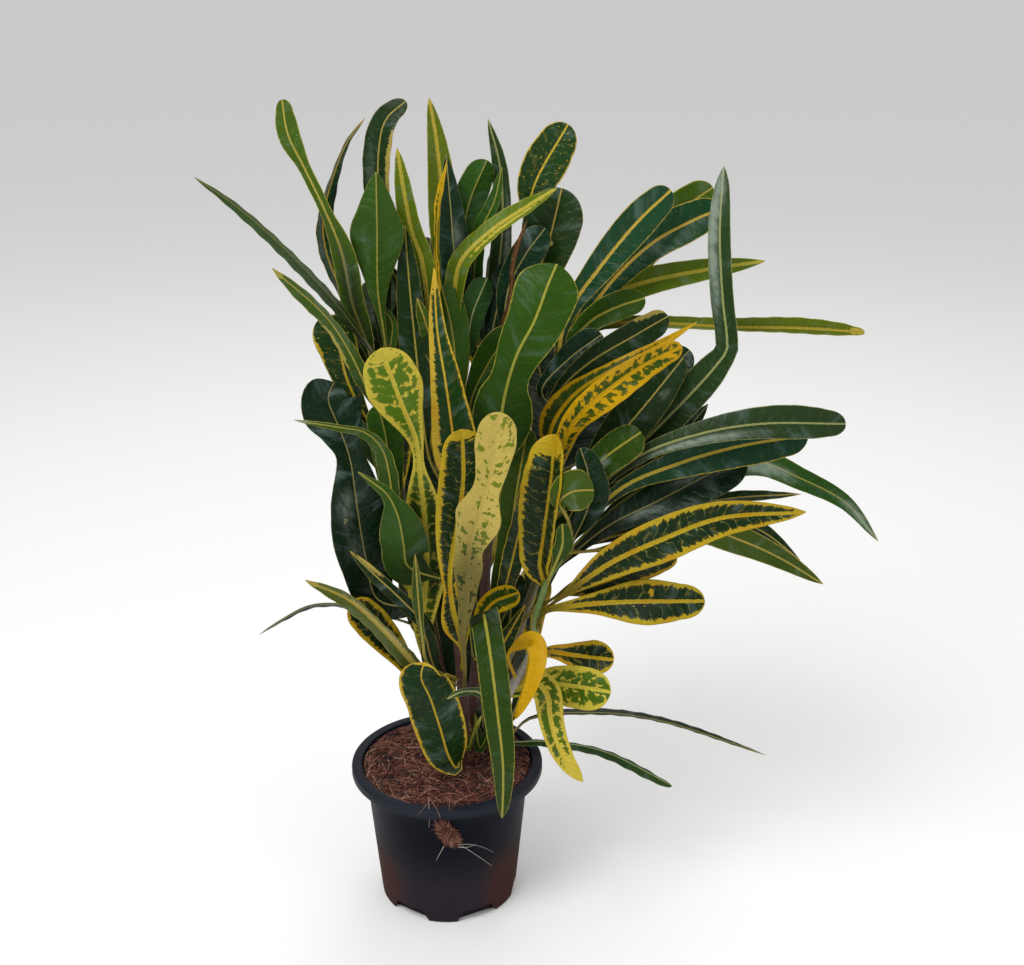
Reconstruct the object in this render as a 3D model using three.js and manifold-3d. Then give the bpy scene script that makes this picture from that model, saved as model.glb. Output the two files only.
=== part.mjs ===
// Potted croton: a black nursery pot filled with soil, and six leafy stems that stand in it.
// Millimetres, +Z up, with the origin in the middle of the pot's underside and the viewer on -Y.

import * as THREE from "three";
import { mergeVertices } from "three/addons/utils/BufferGeometryUtils.js";
import Module from "manifold-3d";

const wasm = await Module();
wasm.setup();

// Pot
const potHeight = 152;
const lipRadius = 99;
const lipDrop = 10;
const lipThickness = 2.4;
const skirtThickness = 2.2;
const wallTopRadius = 85.5;
const collarRadius = 88.5;
const collarLow = 132;
const collarHigh = 140;
const baseRadius = 71;
const wallThickness = 2.4;
const floorThickness = 3;
const potSides = 40;

// Drain notches in the corner of wall and floor, each closed off from the soil by a thin pocket
const notchCount = 6;
const notchFirstAngle = 27;
const notchFoot = 46;
const notchTop = 32;
const notchHeight = 13;
const notchInnerRadius = 62;
const notchReach = 10;
const pocketWall = 2;

// Soil
const soilGap = 0.3;
const soilDepthBelowLip = 5;
const soilCrown = 3;
const soilRoughness = 1.6;
const soilRings = [0, 0.35, 0.7, 1];

// Stems
const stemSides = 6;
const stemFoot = 90;
const stemFootRadius = 6.1;
const stemTopRadius = 2.4;
const stemSteps = 10;
const stemRise = 4;
const holeGap = 0.3;
const holeRise = 30;

// Leaves
const petioleWidth = 3.2;
const midribThickness = 1.3;
const edgeThickness = 0.8;
const usualFold = 12;
const usualWave = 2.2;
const wavesPerLeaf = 1.7;
const rootDrop = 22;
const rootSteps = 60;
const lowestRoot = 6;
const bladeStations = [0, 0.16, 0.36, 0.56, 0.76, 0.92, 1];
const shortStations = [0, 0.22, 0.5, 0.8, 1];
const shortLeaf = 132;
const curveSteps = 40;
const outlineSteps = 80;

// Room between leaves, and the rounds in which they make way for each other
const leafRoom = 3.4;
const pixelRoom = 2;
const rolledShare = 0.85;
const makingWay = { stations: 24, rounds: 160, step: 0.6, smooth: 0.3, stiffShare: 0.22 };

// The viewer's eye: a point of the photograph, with a depth in mm, gives a point of the plant
const eye = { x: 67.5, y: -1313, z: 953.7, lookDown: 20.634, focal: 1450, middleX: 512, middleY: 482.5 };

const potColour = { color: 0x17181b, roughness: 0.42, metalness: 0 };
const soilColour = { color: 0x5a3528, roughness: 0.95, metalness: 0 };
const leafColours = {
  left: 0x1d4a26,
  middle: 0x4d6a20,
  centre: 0x2f5f22,
  right: 0x21502b,
  farRight: 0x2a5530,
  front: 0x8f9c3a,
};

// Each stem: where it stands in the soil (mm), and points of the photograph with their depths
const stems = {
  left: {
    node: "stem_left",
    foot: [4, 8],
    path: [[446, 705, -10], [430, 620, -18], [410, 540, -16], [396, 460, -12], [386, 392, -8]],
  },
  middle: {
    node: "stem_middle",
    foot: [16, -14],
    path: [
      [463, 700, -32], [458, 640, -30], [452, 560, -26], [442, 480, -20], [434, 410, -14], [428, 350, -10],
    ],
  },
  centre: {
    node: "stem_centre",
    foot: [32, 21],
    path: [[474, 690, -2], [484, 600, 2], [490, 500, 6], [489, 420, 6], [486, 356, 6]],
  },
  right: {
    node: "stem_right",
    foot: [44, 40],
    path: [[494, 700, 16], [522, 620, 16], [546, 550, 14], [558, 480, 16], [562, 415, 20]],
  },
  farRight: {
    node: "stem_far_right",
    foot: [58, -3],
    path: [[500, 712, -28], [530, 655, -42], [538, 610, -50], [550, 575, -54], [567, 553, -56]],
  },
  front: {
    node: "stem_front",
    foot: [52, -30],
    path: [[495, 722, -46], [490, 682, -54], [484, 645, -60]],
  },
};

// Half-widths along a leaf, from the root (0) to the tip (1), as shares of the widest one
const shapes = {
  pointed: [[0, 0.1], [0.12, 0.14], [0.32, 0.78], [0.52, 1], [0.78, 0.72], [0.93, 0.36], [1, 0.08]],
  strap: [[0, 0.1], [0.1, 0.14], [0.3, 0.68], [0.55, 0.96], [0.78, 1], [0.91, 0.84], [0.97, 0.55], [1, 0.12]],
  spoon: [[0, 0.08], [0.14, 0.12], [0.4, 0.46], [0.62, 0.82], [0.8, 1], [0.9, 0.93], [0.96, 0.72],
    [0.985, 0.48], [1, 0.12]],
  oval: [[0, 0.08], [0.14, 0.12], [0.32, 0.66], [0.52, 0.97], [0.66, 1], [0.83, 0.86], [0.93, 0.58],
    [0.98, 0.3], [1, 0.1]],
  lance: [[0, 0.1], [0.12, 0.2], [0.3, 1], [0.52, 0.74], [0.72, 0.44], [0.88, 0.24], [1, 0.06]],
  diamond: [[0, 0.08], [0.3, 0.12], [0.48, 0.42], [0.7, 1], [0.84, 0.68], [0.95, 0.3], [1, 0.1]],
  paddle: [[0, 0.08], [0.4, 0.09], [0.5, 0.1], [0.59, 0.2], [0.7, 0.75], [0.82, 1], [0.93, 0.82],
    [0.98, 0.5], [1, 0.12]],
  broad: [[0, 0.08], [0.2, 0.1], [0.27, 0.24], [0.35, 0.62], [0.45, 0.88], [0.65, 1], [0.85, 0.95],
    [0.95, 0.66], [1, 0.1]],
  hanging: [[0, 0.1], [0.03, 0.5], [0.08, 0.95], [0.4, 1], [0.6, 0.95], [0.75, 0.85], [0.9, 0.6],
    [0.97, 0.35], [1, 0.1]],
  tongue: [[0, 0.08], [0.1, 0.2], [0.28, 0.95], [0.45, 1], [0.65, 0.86], [0.82, 0.66], [0.94, 0.38],
    [1, 0.1]],
  kinked: [[0, 0.1], [0.08, 0.3], [0.2, 0.9], [0.38, 1], [0.49, 0.92], [0.55, 0.68], [0.7, 0.66],
    [0.85, 0.6], [0.95, 0.4], [1, 0.1]],
  twisted: [[0, 0.1], [0.1, 0.3], [0.22, 0.82], [0.33, 0.96], [0.45, 1], [0.54, 0.75], [0.6, 0.52],
    [0.7, 0.5], [0.77, 0.5], [0.82, 0.7], [0.88, 0.86], [0.94, 0.78], [0.98, 0.45], [1, 0.1]],
  slender: [[0, 0.1], [0.12, 0.3], [0.3, 0.9], [0.45, 1], [0.6, 0.75], [0.7, 0.45], [0.85, 0.28],
    [0.95, 0.15], [1, 0.1]],
  flask: [[0, 0.1], [0.14, 0.14], [0.22, 0.6], [0.34, 0.95], [0.5, 1], [0.64, 0.7], [0.74, 0.34],
    [0.86, 0.2], [1, 0.1]],
  drooping: [[0, 0.1], [0.2, 0.14], [0.34, 0.7], [0.45, 1], [0.7, 0.9], [0.85, 0.66], [0.95, 0.36],
    [1, 0.1]],
  petal: [[0, 0.08], [0.15, 0.1], [0.4, 0.46], [0.6, 0.9], [0.72, 1], [0.86, 0.82], [0.95, 0.5], [1, 0.1]],
  double: [[0, 0.08], [0.12, 0.14], [0.28, 0.62], [0.42, 0.92], [0.56, 0.6], [0.66, 0.2], [0.76, 0.46],
    [0.88, 1], [0.95, 0.84], [0.985, 0.5], [1, 0.12]],
  triple: [[0, 0.08], [0.16, 0.1], [0.24, 0.16], [0.32, 0.3], [0.4, 0.44], [0.48, 0.64], [0.54, 0.6],
    [0.6, 0.8], [0.67, 1], [0.75, 0.58], [0.83, 0.68], [0.91, 0.84], [0.97, 0.6], [1, 0.1]],
  pinchLow: [[0, 0.08], [0.12, 0.14], [0.24, 0.64], [0.36, 0.3], [0.42, 0.36], [0.6, 0.84], [0.78, 1],
    [0.91, 0.86], [0.97, 0.6], [1, 0.12]],
  pinchHigh: [[0, 0.1], [0.06, 0.35], [0.14, 0.56], [0.24, 0.76], [0.42, 1], [0.56, 0.86], [0.66, 0.6],
    [0.73, 0.44], [0.8, 0.66], [0.88, 0.98], [0.95, 0.84], [0.985, 0.5], [1, 0.1]],
  pinchWide: [[0, 0.08], [0.12, 0.16], [0.3, 0.94], [0.42, 0.9], [0.52, 0.62], [0.7, 0.86], [0.89, 1],
    [0.96, 0.84], [0.99, 0.55], [1, 0.25]],
};

const leaves = [];

function leaf(stem, shape, width, path, more = {}) {
  leaves.push({ stem, shape, width, path, roll: 0, fold: usualFold, wave: usualWave, ...more });
}

// Left stem, from its top down
leaf("left", "pointed", 26, [
  [385, 375, -15], [350, 320, -30], [280, 244, -48], [230, 201, -56], [194, 177, -60],
], { roll: 64, wave: 0.6 });
leaf("left", "twisted", 23, [
  [375, 370, -10], [364, 335, -14], [353, 305, -18], [341, 250, -22], [323, 206, -24], [303, 165, -22],
  [288, 134, -18], [282, 99, -12],
], { roll: 15, under: true });
leaf("left", "pointed", 24, [
  [368, 350, 4], [325, 250, 14], [323, 215, 18], [345, 145, 24], [365, 118, 28],
], { roll: -58 });
leaf("left", "pointed", 24, [
  [378, 410, -28], [350, 352, -42], [325, 315, -52], [272, 268, -66],
], { roll: 48 });
leaf("left", "spoon", 38, [
  [372, 425, -10], [348, 382, -16], [337, 343, -20], [322, 317, -18],
], { roll: 8 });
leaf("left", "diamond", 50, [
  [386, 350, -10], [378, 292, -14], [377, 228, -16], [376, 172, -6],
], { under: true });
leaf("left", "strap", 28, [
  [384, 330, 8], [380, 230, 20], [379, 150, 30], [386, 120, 34], [406, 101, 38],
], { roll: 28 });
leaf("left", "pinchHigh", 60, [
  [378, 600, -10], [366, 560, -18], [357, 508, -30], [350, 460, -36], [340, 430, -36], [328, 398, -30],
  [334, 382, -24],
], { roll: -12 });
leaf("left", "slender", 28, [
  [398, 520, -30], [383, 450, -50], [365, 432, -58], [340, 427, -64], [294, 420, -72],
], { roll: 52 });
leaf("left", "spoon", 32, [
  [400, 560, -20], [392, 500, -28], [386, 438, -36], [378, 405, -40],
], { under: true });
leaf("middle", "flask", 46, [
  [408, 566, -52], [404, 546, -64], [398, 516, -74], [387, 494, -78], [372, 482, -78], [358, 472, -76],
], { roll: 8, under: true });
leaf("left", "pointed", 17, [
  [430, 630, -50], [405, 603, -60], [372, 572, -72], [350, 551, -80],
], { roll: 22 });
leaf("left", "spoon", 36, [
  [425, 690, -25], [395, 650, -34], [370, 622, -42], [350, 603, -50],
], { roll: -10 });
leaf("left", "pointed", 30, [
  [435, 690, -30], [410, 660, -52], [370, 617, -74], [345, 597, -86], [305, 580, -100],
], { roll: 54 });
leaf("left", "pointed", 16, [
  [400, 620, -10], [345, 605, -6], [310, 606, -2], [280, 621, 4], [259, 635, 8],
], { roll: 76, wave: 0.6 });
leaf("left", "pointed", 14, [[390, 350, -2], [392, 322, -2], [378, 303, 0]], { roll: 20 });
leaf("left", "pointed", 22, [[388, 350, 12], [405, 300, 18], [387, 262, 24]], { roll: -15 });
leaf("left", "spoon", 28, [[376, 370, 14], [355, 330, 24], [345, 298, 30]], { roll: 10 });
leaf("left", "pointed", 26, [[388, 385, 6], [365, 345, 10], [350, 316, 12]], { roll: -20 });
// Middle stem, from its top down
leaf("middle", "pointed", 24, [
  [430, 335, 2], [422, 260, 12], [412, 230, 16], [397, 148, 26],
], { roll: 18 });
leaf("middle", "pointed", 30, [
  [440, 330, 4], [450, 290, 8], [446, 240, 18], [436, 140, 30], [429, 98, 34],
], { roll: -12 });
leaf("middle", "pointed", 30, [[440, 345, 0], [455, 290, -2], [452, 230, 0], [446, 155, 4]], { roll: -18 });
leaf("middle", "pointed", 16, [
  [436, 330, -26], [437, 250, -34], [440, 200, -32], [447, 160, -28],
], { roll: 68 });
leaf("middle", "lance", 44, [
  [460, 500, -40], [452, 430, -56], [445, 380, -60], [437, 330, -52], [434, 268, -40],
], { roll: -14 });
leaf("middle", "double", 50, [
  [428, 662, -40], [427, 560, -54], [425, 520, -64], [420, 475, -74], [416, 440, -82], [402, 405, -100],
  [381, 348, -124],
], { roll: 6 });
leaf("middle", "pinchLow", 46, [
  [463, 650, -50], [452, 605, -72], [450, 573, -84], [458, 520, -100], [463, 480, -112],
  [462, 429, -124],
], { roll: -6 });
leaf("middle", "spoon", 34, [
  [452, 440, -20], [456, 380, -22], [452, 330, -20], [441, 285, -14],
], { under: true });
leaf("middle", "spoon", 28, [
  [448, 380, -4], [465, 350, -6], [472, 315, -4], [487, 278, 2],
], { roll: -16, under: true });
leaf("middle", "pointed", 18, [[435, 360, -14], [425, 320, -12], [417, 298, -10]], { roll: 20 });
leaf("middle", "pointed", 32, [
  [430, 460, -20], [421, 400, -22], [416, 350, -14], [410, 290, -2], [405, 225, 4],
], { roll: 16 });
leaf("middle", "diamond", 12, [[428, 664, -62], [422, 635, -70], [415, 554, -80]], { roll: 20 });
leaf("middle", "pointed", 20, [[436, 670, -50], [426, 640, -58], [416, 606, -64]], { roll: -30 });
leaf("middle", "pointed", 24, [
  [452, 330, -6], [455, 290, -12], [461, 262, -14], [490, 232, -8], [525, 208, 2], [557, 188, 16],
], { roll: 32 });
leaf("middle", "broad", 52, [
  [457, 768, -34], [449, 757, -44], [440, 728, -58], [430, 698, -68], [421, 677, -76], [424, 662, -78],
], { roll: -6 });
leaf("middle", "pointed", 9, [[452, 742, -44], [451, 760, -52], [459, 774, -52]], { roll: 40 });
// Centre stem, from its top down
leaf("centre", "spoon", 32, [
  [472, 330, 8], [462, 290, 14], [462, 240, 22], [470, 200, 30], [487, 160, 36],
], { roll: -10, under: true });
leaf("centre", "pointed", 22, [
  [490, 345, 18], [500, 260, 32], [503, 215, 38], [500, 165, 44], [488, 119, 48],
], { roll: 20 });
leaf("centre", "pointed", 20, [[474, 320, 2], [480, 235, 8], [495, 200, 12], [502, 167, 16]], { roll: 30 });
leaf("centre", "paddle", 42, [
  [500, 330, 10], [520, 280, 16], [527, 215, 24], [535, 183, 28], [568, 124, 38],
], { roll: -8 });
leaf("centre", "spoon", 56, [[515, 345, 2], [532, 290, 10], [548, 245, 14], [562, 188, 22]], { roll: 12 });
leaf("centre", "spoon", 32, [[500, 350, -4], [508, 290, -2], [525, 255, 2], [545, 228, 6]], { roll: -14 });
leaf("centre", "pointed", 6, [[508, 310, -6], [515, 255, -4], [527, 220, -2]], { roll: 20 });
leaf("centre", "pinchWide", 58, [
  [490, 470, -26], [498, 440, -40], [505, 395, -60], [517, 355, -76], [535, 320, -84], [548, 285, -82],
  [557, 264, -70],
], { roll: 8, under: true });
leaf("centre", "spoon", 30, [[488, 370, 4], [497, 310, 4], [515, 262, 6]], { roll: 18 });
leaf("centre", "spoon", 38, [[470, 410, -10], [490, 360, -18], [515, 328, -22]], { roll: -20 });
leaf("centre", "spoon", 26, [[474, 640, -14], [490, 605, -24], [519, 592, -32]], { roll: -10 });
leaf("centre", "pointed", 16, [[488, 640, -6], [500, 615, -6], [516, 598, -6]], { roll: 20 });
leaf("centre", "pointed", 18, [[490, 665, -14], [505, 640, -24], [525, 605, -32]], { roll: -16 });
leaf("centre", "strap", 30, [
  [490, 612, -12], [508, 552, -18], [516, 495, -24], [528, 428, -26],
], { roll: 12 });
leaf("centre", "strap", 26, [
  [492, 632, -16], [506, 584, -26], [519, 530, -34], [532, 470, -36],
], { roll: -30 });
leaf("centre", "pointed", 12, [[480, 748, -14], [487, 736, -22], [497, 716, -30]], { roll: 24 });
// Right stem, from its top down
leaf("right", "spoon", 34, [
  [558, 370, 0], [566, 318, -8], [600, 267, -12], [640, 219, -8], [671, 190, 2],
], { roll: -8 });
leaf("right", "spoon", 37, [
  [572, 345, 12], [605, 290, 14], [650, 245, 16], [690, 222, 16], [722, 208, 16],
], { roll: 12 });
leaf("right", "spoon", 39, [[580, 331, 34], [620, 276, 40], [680, 211, 48], [713, 187, 52]], { roll: -10 });
leaf("right", "kinked", 34, [
  [600, 480, 4], [640, 445, -4], [690, 395, -14], [716, 366, -18], [727, 350, -19], [727, 335, -18],
  [723, 300, -14], [720, 230, -8], [724, 166, 2],
], { roll: 14 });
leaf("right", "pointed", 30, [
  [575, 340, 24], [600, 300, 28], [640, 284, 30], [700, 271, 34], [765, 261, 38],
], { roll: 12 });
leaf("right", "spoon", 28, [[568, 350, 6], [590, 322, 8], [615, 308, 8], [645, 298, 10]], { roll: 14 });
leaf("right", "strap", 20, [
  [560, 350, 14], [600, 327, 20], [650, 324, 24], [735, 328, 26], [800, 329, 22], [865, 333, 14],
], { roll: 32, fold: 34 });
leaf("right", "spoon", 32, [
  [545, 425, -16], [560, 390, -18], [590, 362, -16], [635, 335, -10], [668, 316, -4],
], { roll: -20 });
leaf("right", "lance", 28, [
  [550, 435, -30], [560, 412, -42], [580, 390, -50], [620, 366, -52], [660, 345, -46], [697, 322, -36],
], { roll: 26, wave: 4 });
leaf("right", "strap", 30, [
  [558, 460, -35], [572, 425, -50], [598, 398, -62], [640, 367, -64], [682, 346, -58],
], { roll: -26, wave: 4 });
leaf("right", "oval", 42, [
  [590, 470, -16], [615, 440, -24], [645, 405, -28], [683, 358, -22],
], { roll: -10, under: true });
leaf("right", "spoon", 36, [[590, 455, 4], [640, 402, 6], [665, 375, 8], [690, 350, 12]], { roll: 14 });
leaf("right", "pointed", 28, [
  [620, 480, 10], [675, 442, 18], [695, 420, 22], [708, 404, 28],
], { roll: -14 });
leaf("farRight", "oval", 56, [
  [546, 590, -34], [541, 565, -56], [544, 540, -70], [548, 510, -84], [553, 470, -94], [555, 434, -88],
], { roll: 34, fold: 36 });
leaf("farRight", "paddle", 38, [
  [571, 542, -64], [568, 520, -84], [560, 502, -100], [572, 492, -106], [594, 490, -104],
], { roll: 8 });
leaf("farRight", "petal", 20, [[556, 562, -66], [562, 545, -72], [562, 524, -76]], { roll: -24 });
leaf("right", "spoon", 35, [
  [565, 505, -34], [580, 485, -46], [605, 458, -54], [641, 432, -56],
], { roll: 12, under: true });
leaf("farRight", "oval", 34, [[590, 500, -58], [588, 474, -62], [580, 448, -62]], { roll: -18, fold: 30 });
leaf("right", "spoon", 28, [[542, 390, -8], [570, 358, -8], [602, 334, -4]], { roll: 10 });
leaf("right", "pointed", 22, [[560, 375, 4], [578, 348, 6], [594, 328, 8]], { roll: -24 });
leaf("right", "pointed", 18, [
  [504, 738, 14], [530, 719, 18], [600, 713, 24], [660, 721, 28], [766, 755, 32],
], { roll: 66, wave: 0.5 });
leaf("right", "strap", 18, [
  [502, 739, 22], [545, 742, 20], [600, 751, 12], [672, 786, -4],
], { roll: 58, under: true, wave: 0.5 });
// Far-right stem, from its top down
leaf("farRight", "spoon", 32, [
  [590, 500, -40], [640, 456, -56], [700, 434, -64], [760, 424, -64], [846, 424, -60],
], { roll: 14 });
leaf("farRight", "spoon", 40, [
  [572, 540, -38], [620, 489, -42], [680, 463, -46], [740, 446, -44], [808, 435, -38],
], { roll: -14 });
leaf("farRight", "spoon", 50, [
  [566, 560, -36], [610, 525, -36], [660, 500, -30], [745, 455, -16],
], { roll: 10 });
leaf("farRight", "pointed", 28, [
  [600, 520, -24], [640, 490, -12], [700, 470, 4], [760, 462, 12], [800, 478, 12], [845, 502, 0],
  [878, 541, -14],
], { roll: -10 });
leaf("farRight", "pointed", 18, [
  [600, 538, -30], [650, 517, -14], [720, 500, -6], [801, 494, 0],
], { roll: 36 });
leaf("farRight", "pointed", 32, [
  [610, 548, -40], [690, 525, -24], [740, 540, -24], [780, 558, -28], [823, 584, -34],
], { roll: -8 });
leaf("farRight", "pointed", 24, [
  [620, 535, -20], [700, 520, -4], [755, 528, 2], [800, 560, 4],
], { roll: 18 });
leaf("farRight", "pointed", 42, [
  [560, 598, -60], [610, 563, -82], [660, 540, -96], [720, 518, -98], [806, 512, -92],
], { roll: -16 });
leaf("farRight", "oval", 28, [
  [566, 592, -50], [600, 583, -54], [630, 572, -54], [677, 557, -50],
], { roll: 10 });
leaf("farRight", "petal", 44, [
  [545, 612, -58], [580, 605, -66], [620, 602, -74], [705, 601, -86],
], { roll: -8 });
leaf("farRight", "spoon", 34, [
  [538, 655, -44], [552, 652, -50], [572, 655, -56], [596, 658, -62], [614, 660, -64],
], { roll: 8 });
leaf("farRight", "spoon", 44, [
  [505, 695, -52], [545, 684, -74], [575, 686, -86], [611, 692, -94],
], { roll: -12 });
leaf("farRight", "tongue", 28, [
  [530, 680, -60], [547, 695, -88], [550, 716, -100], [555, 738, -112], [565, 760, -122],
  [583, 782, -132],
], { roll: 14 });
leaf("farRight", "drooping", 19, [
  [508, 655, -56], [520, 645, -72], [534, 641, -92], [538, 656, -104], [533, 680, -114],
  [524, 702, -118], [514, 720, -120],
], { roll: -14 });
// Front stem
leaf("middle", "triple", 43, [
  [465, 672, -60], [463, 630, -82], [467, 598, -96], [468, 570, -108], [470, 544, -118],
  [478, 520, -128], [485, 495, -136], [491, 475, -142], [500, 412, -150],
], { roll: 4, wave: 4 });
leaf("front", "hanging", 29, [
  [486, 650, -64], [484, 622, -74], [484, 615, -86], [487, 632, -100], [491, 659, -112],
  [497, 708, -128], [503, 764, -134], [503, 798, -130], [502, 818, -126],
], { roll: -6, under: true });
leaf("front", "pointed", 10, [
  [480, 693, -58], [470, 691, -64], [458, 693, -70], [447, 699, -74],
], { roll: 20 });
leaf("middle", "pointed", 7, [[468, 748, -46], [474, 732, -50], [482, 715, -54]], { roll: 20 });
leaf("middle", "spoon", 40, [[454, 722, 2], [446, 680, 12], [438, 632, 20], [431, 590, 24]], { roll: 14 });
leaf("centre", "spoon", 42, [[477, 742, 6], [475, 692, 14], [471, 642, 22], [467, 602, 26]], { roll: -12 });
leaf("right", "spoon", 40, [[492, 724, 24], [502, 670, 34], [510, 620, 42], [514, 572, 48]], { roll: 14 });
leaf("centre", "pointed", 20, [[484, 742, -8], [483, 722, -12], [480, 692, -16]], { roll: -14 });
leaf("farRight", "spoon", 24, [[510, 722, -8], [522, 692, -2], [536, 656, 6]], { roll: 10 });
// Round the back, where the stems' other leaves grow away from the viewer
leaf("left", "spoon", 39, [[390, 395, 8], [384, 340, 50], [380, 296, 90], [384, 276, 108]], { roll: 20 });
leaf("left", "spoon", 46, [
  [398, 440, 12], [380, 370, 70], [366, 332, 115], [353, 314, 152],
], { roll: -10 });
leaf("left", "strap", 43, [[402, 480, 12], [396, 400, 68], [390, 352, 112], [386, 326, 150]], { roll: 24 });
leaf("left", "spoon", 43, [
  [408, 520, 10], [384, 460, 70], [366, 434, 120], [350, 430, 166],
], { roll: -16 });
leaf("left", "spoon", 41, [[412, 560, 8], [402, 480, 58], [396, 432, 98], [392, 406, 130]], { roll: 12 });
leaf("left", "strap", 39, [[420, 600, 4], [400, 550, 60], [386, 532, 110], [376, 534, 152]], { roll: -22 });
leaf("left", "pointed", 34, [[430, 650, 0], [414, 582, 52], [406, 546, 92], [402, 532, 124]], { roll: 16 });
leaf("middle", "spoon", 39, [
  [430, 365, 8], [432, 300, 48], [430, 256, 84], [430, 238, 102],
], { roll: -20 });
leaf("middle", "spoon", 46, [
  [434, 410, 10], [424, 340, 64], [418, 302, 108], [412, 282, 146],
], { roll: 14 });
leaf("middle", "strap", 43, [
  [440, 460, 8], [446, 380, 60], [450, 332, 104], [452, 306, 140],
], { roll: -12 });
leaf("middle", "spoon", 48, [
  [448, 520, 4], [430, 440, 70], [420, 402, 120], [412, 388, 166],
], { roll: 18 });
leaf("middle", "spoon", 43, [
  [454, 580, 0], [456, 500, 58], [458, 452, 104], [460, 432, 140],
], { roll: -24 });
leaf("middle", "strap", 39, [
  [459, 645, -6], [438, 582, 58], [426, 556, 114], [418, 556, 160],
], { roll: -14 });
leaf("centre", "spoon", 39, [
  [488, 362, 22], [500, 300, 68], [508, 262, 104], [512, 246, 126],
], { roll: 16 });
leaf("centre", "spoon", 46, [
  [489, 410, 24], [478, 342, 76], [474, 312, 116], [474, 304, 150],
], { roll: -18 });
leaf("centre", "strap", 48, [
  [490, 460, 24], [506, 380, 80], [516, 338, 125], [522, 318, 162],
], { roll: 12 });
leaf("centre", "spoon", 48, [
  [488, 520, 20], [476, 440, 80], [470, 402, 130], [468, 388, 172],
], { roll: -10 });
leaf("centre", "spoon", 43, [
  [485, 580, 16], [506, 512, 80], [518, 478, 130], [526, 466, 172],
], { roll: 20 });
leaf("centre", "strap", 41, [
  [480, 640, 10], [470, 560, 70], [464, 522, 118], [462, 508, 156],
], { roll: -16 });
leaf("centre", "pointed", 36, [
  [474, 690, 6], [494, 632, 68], [506, 602, 118], [514, 596, 160],
], { roll: 14 });
leaf("right", "spoon", 39, [
  [562, 425, 34], [574, 362, 80], [580, 326, 112], [582, 312, 130],
], { roll: 18 });
leaf("right", "spoon", 48, [
  [560, 450, 30], [540, 372, 84], [532, 332, 130], [526, 314, 166],
], { roll: -14 });
leaf("right", "strap", 48, [
  [558, 480, 30], [590, 412, 88], [610, 378, 138], [628, 364, 180],
], { roll: 10 });
leaf("right", "spoon", 48, [
  [552, 530, 26], [548, 442, 84], [546, 398, 134], [546, 378, 172],
], { roll: -20 });
leaf("right", "spoon", 46, [
  [545, 560, 26], [580, 500, 90], [602, 472, 140], [620, 466, 184],
], { roll: 14 });
leaf("right", "strap", 43, [
  [530, 600, 24], [538, 530, 80], [542, 492, 124], [544, 478, 160],
], { roll: -18 });
leaf("right", "pointed", 36, [
  [515, 645, 20], [530, 592, 78], [536, 572, 124], [536, 570, 162],
], { roll: 16 });
leaf("right", "strap", 34, [
  [500, 695, 18], [512, 652, 80], [520, 642, 130], [522, 654, 172],
], { roll: -12 });
leaf("right", "spoon", 41, [[536, 606, -6], [560, 542, 34], [574, 508, 75], [584, 494, 116]], { roll: 12 });
leaf("farRight", "strap", 32, [
  [528, 655, -22], [534, 602, 40], [536, 582, 90], [534, 582, 132],
], { roll: -18 });

const degrees = Math.PI / 180;
const forward = new THREE.Vector3(0, Math.cos(eye.lookDown * degrees), -Math.sin(eye.lookDown * degrees));
const upward = new THREE.Vector3(0, Math.sin(eye.lookDown * degrees), Math.cos(eye.lookDown * degrees));
const eyePoint = new THREE.Vector3(eye.x, eye.y, eye.z);

// The point of the plant that is seen at a point of the photograph, at a depth (mm, along +Y)
function seen(across, down, depth) {
  const ray = forward.clone()
    .addScaledVector(new THREE.Vector3(1, 0, 0), (across - eye.middleX) / eye.focal)
    .addScaledVector(upward, (eye.middleY - down) / eye.focal);
  return eyePoint.clone().addScaledVector(ray, (depth - eye.y) / ray.y);
}

// The point of the photograph, with its depth, at which a point of the plant is seen
function photographed(point) {
  const from = point.clone().sub(eyePoint);
  const far = from.dot(forward);
  return new THREE.Vector3(
    eye.middleX + (eye.focal * from.x) / far,
    eye.middleY - (eye.focal * from.dot(upward)) / far,
    point.y,
  );
}

function soilLevel() {
  return potHeight - soilDepthBelowLip;
}

// Points at given shares of the length of a smooth curve through control points
function alongCurve(controls, shares) {
  const fine = new THREE.CatmullRomCurve3(controls).getPoints(curveSteps * (controls.length - 1));
  const reached = [0];
  for (let i = 1; i < fine.length; i += 1) {
    reached.push(reached[i - 1] + fine[i].distanceTo(fine[i - 1]));
  }
  const total = reached[reached.length - 1];
  return shares.map((share) => {
    let i = 1;
    while (i < fine.length - 1 && reached[i] < share * total) {
      i += 1;
    }
    const part = (share * total - reached[i - 1]) / (reached[i] - reached[i - 1]);
    return fine[i - 1].clone().lerp(fine[i], part);
  });
}

function evenShares(count) {
  return Array.from({ length: count }, (_, i) => i / (count - 1));
}

// The half-width of a leaf at a share of its length
const outlines = Object.fromEntries(Object.entries(shapes).map(([name, knots]) => [
  name,
  new THREE.SplineCurve(knots.map(([share, wide]) => new THREE.Vector2(share, wide))).getPoints(outlineSteps),
]));

function halfWidth(row, share) {
  const outline = outlines[row.shape];
  let i = 1;
  while (i < outline.length - 1 && outline[i].x < share) {
    i += 1;
  }
  const part = (share - outline[i - 1].x) / (outline[i].x - outline[i - 1].x);
  const wide = outline[i - 1].y + part * (outline[i].y - outline[i - 1].y);
  return Math.max(wide * row.width, petioleWidth) / 2;
}

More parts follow.
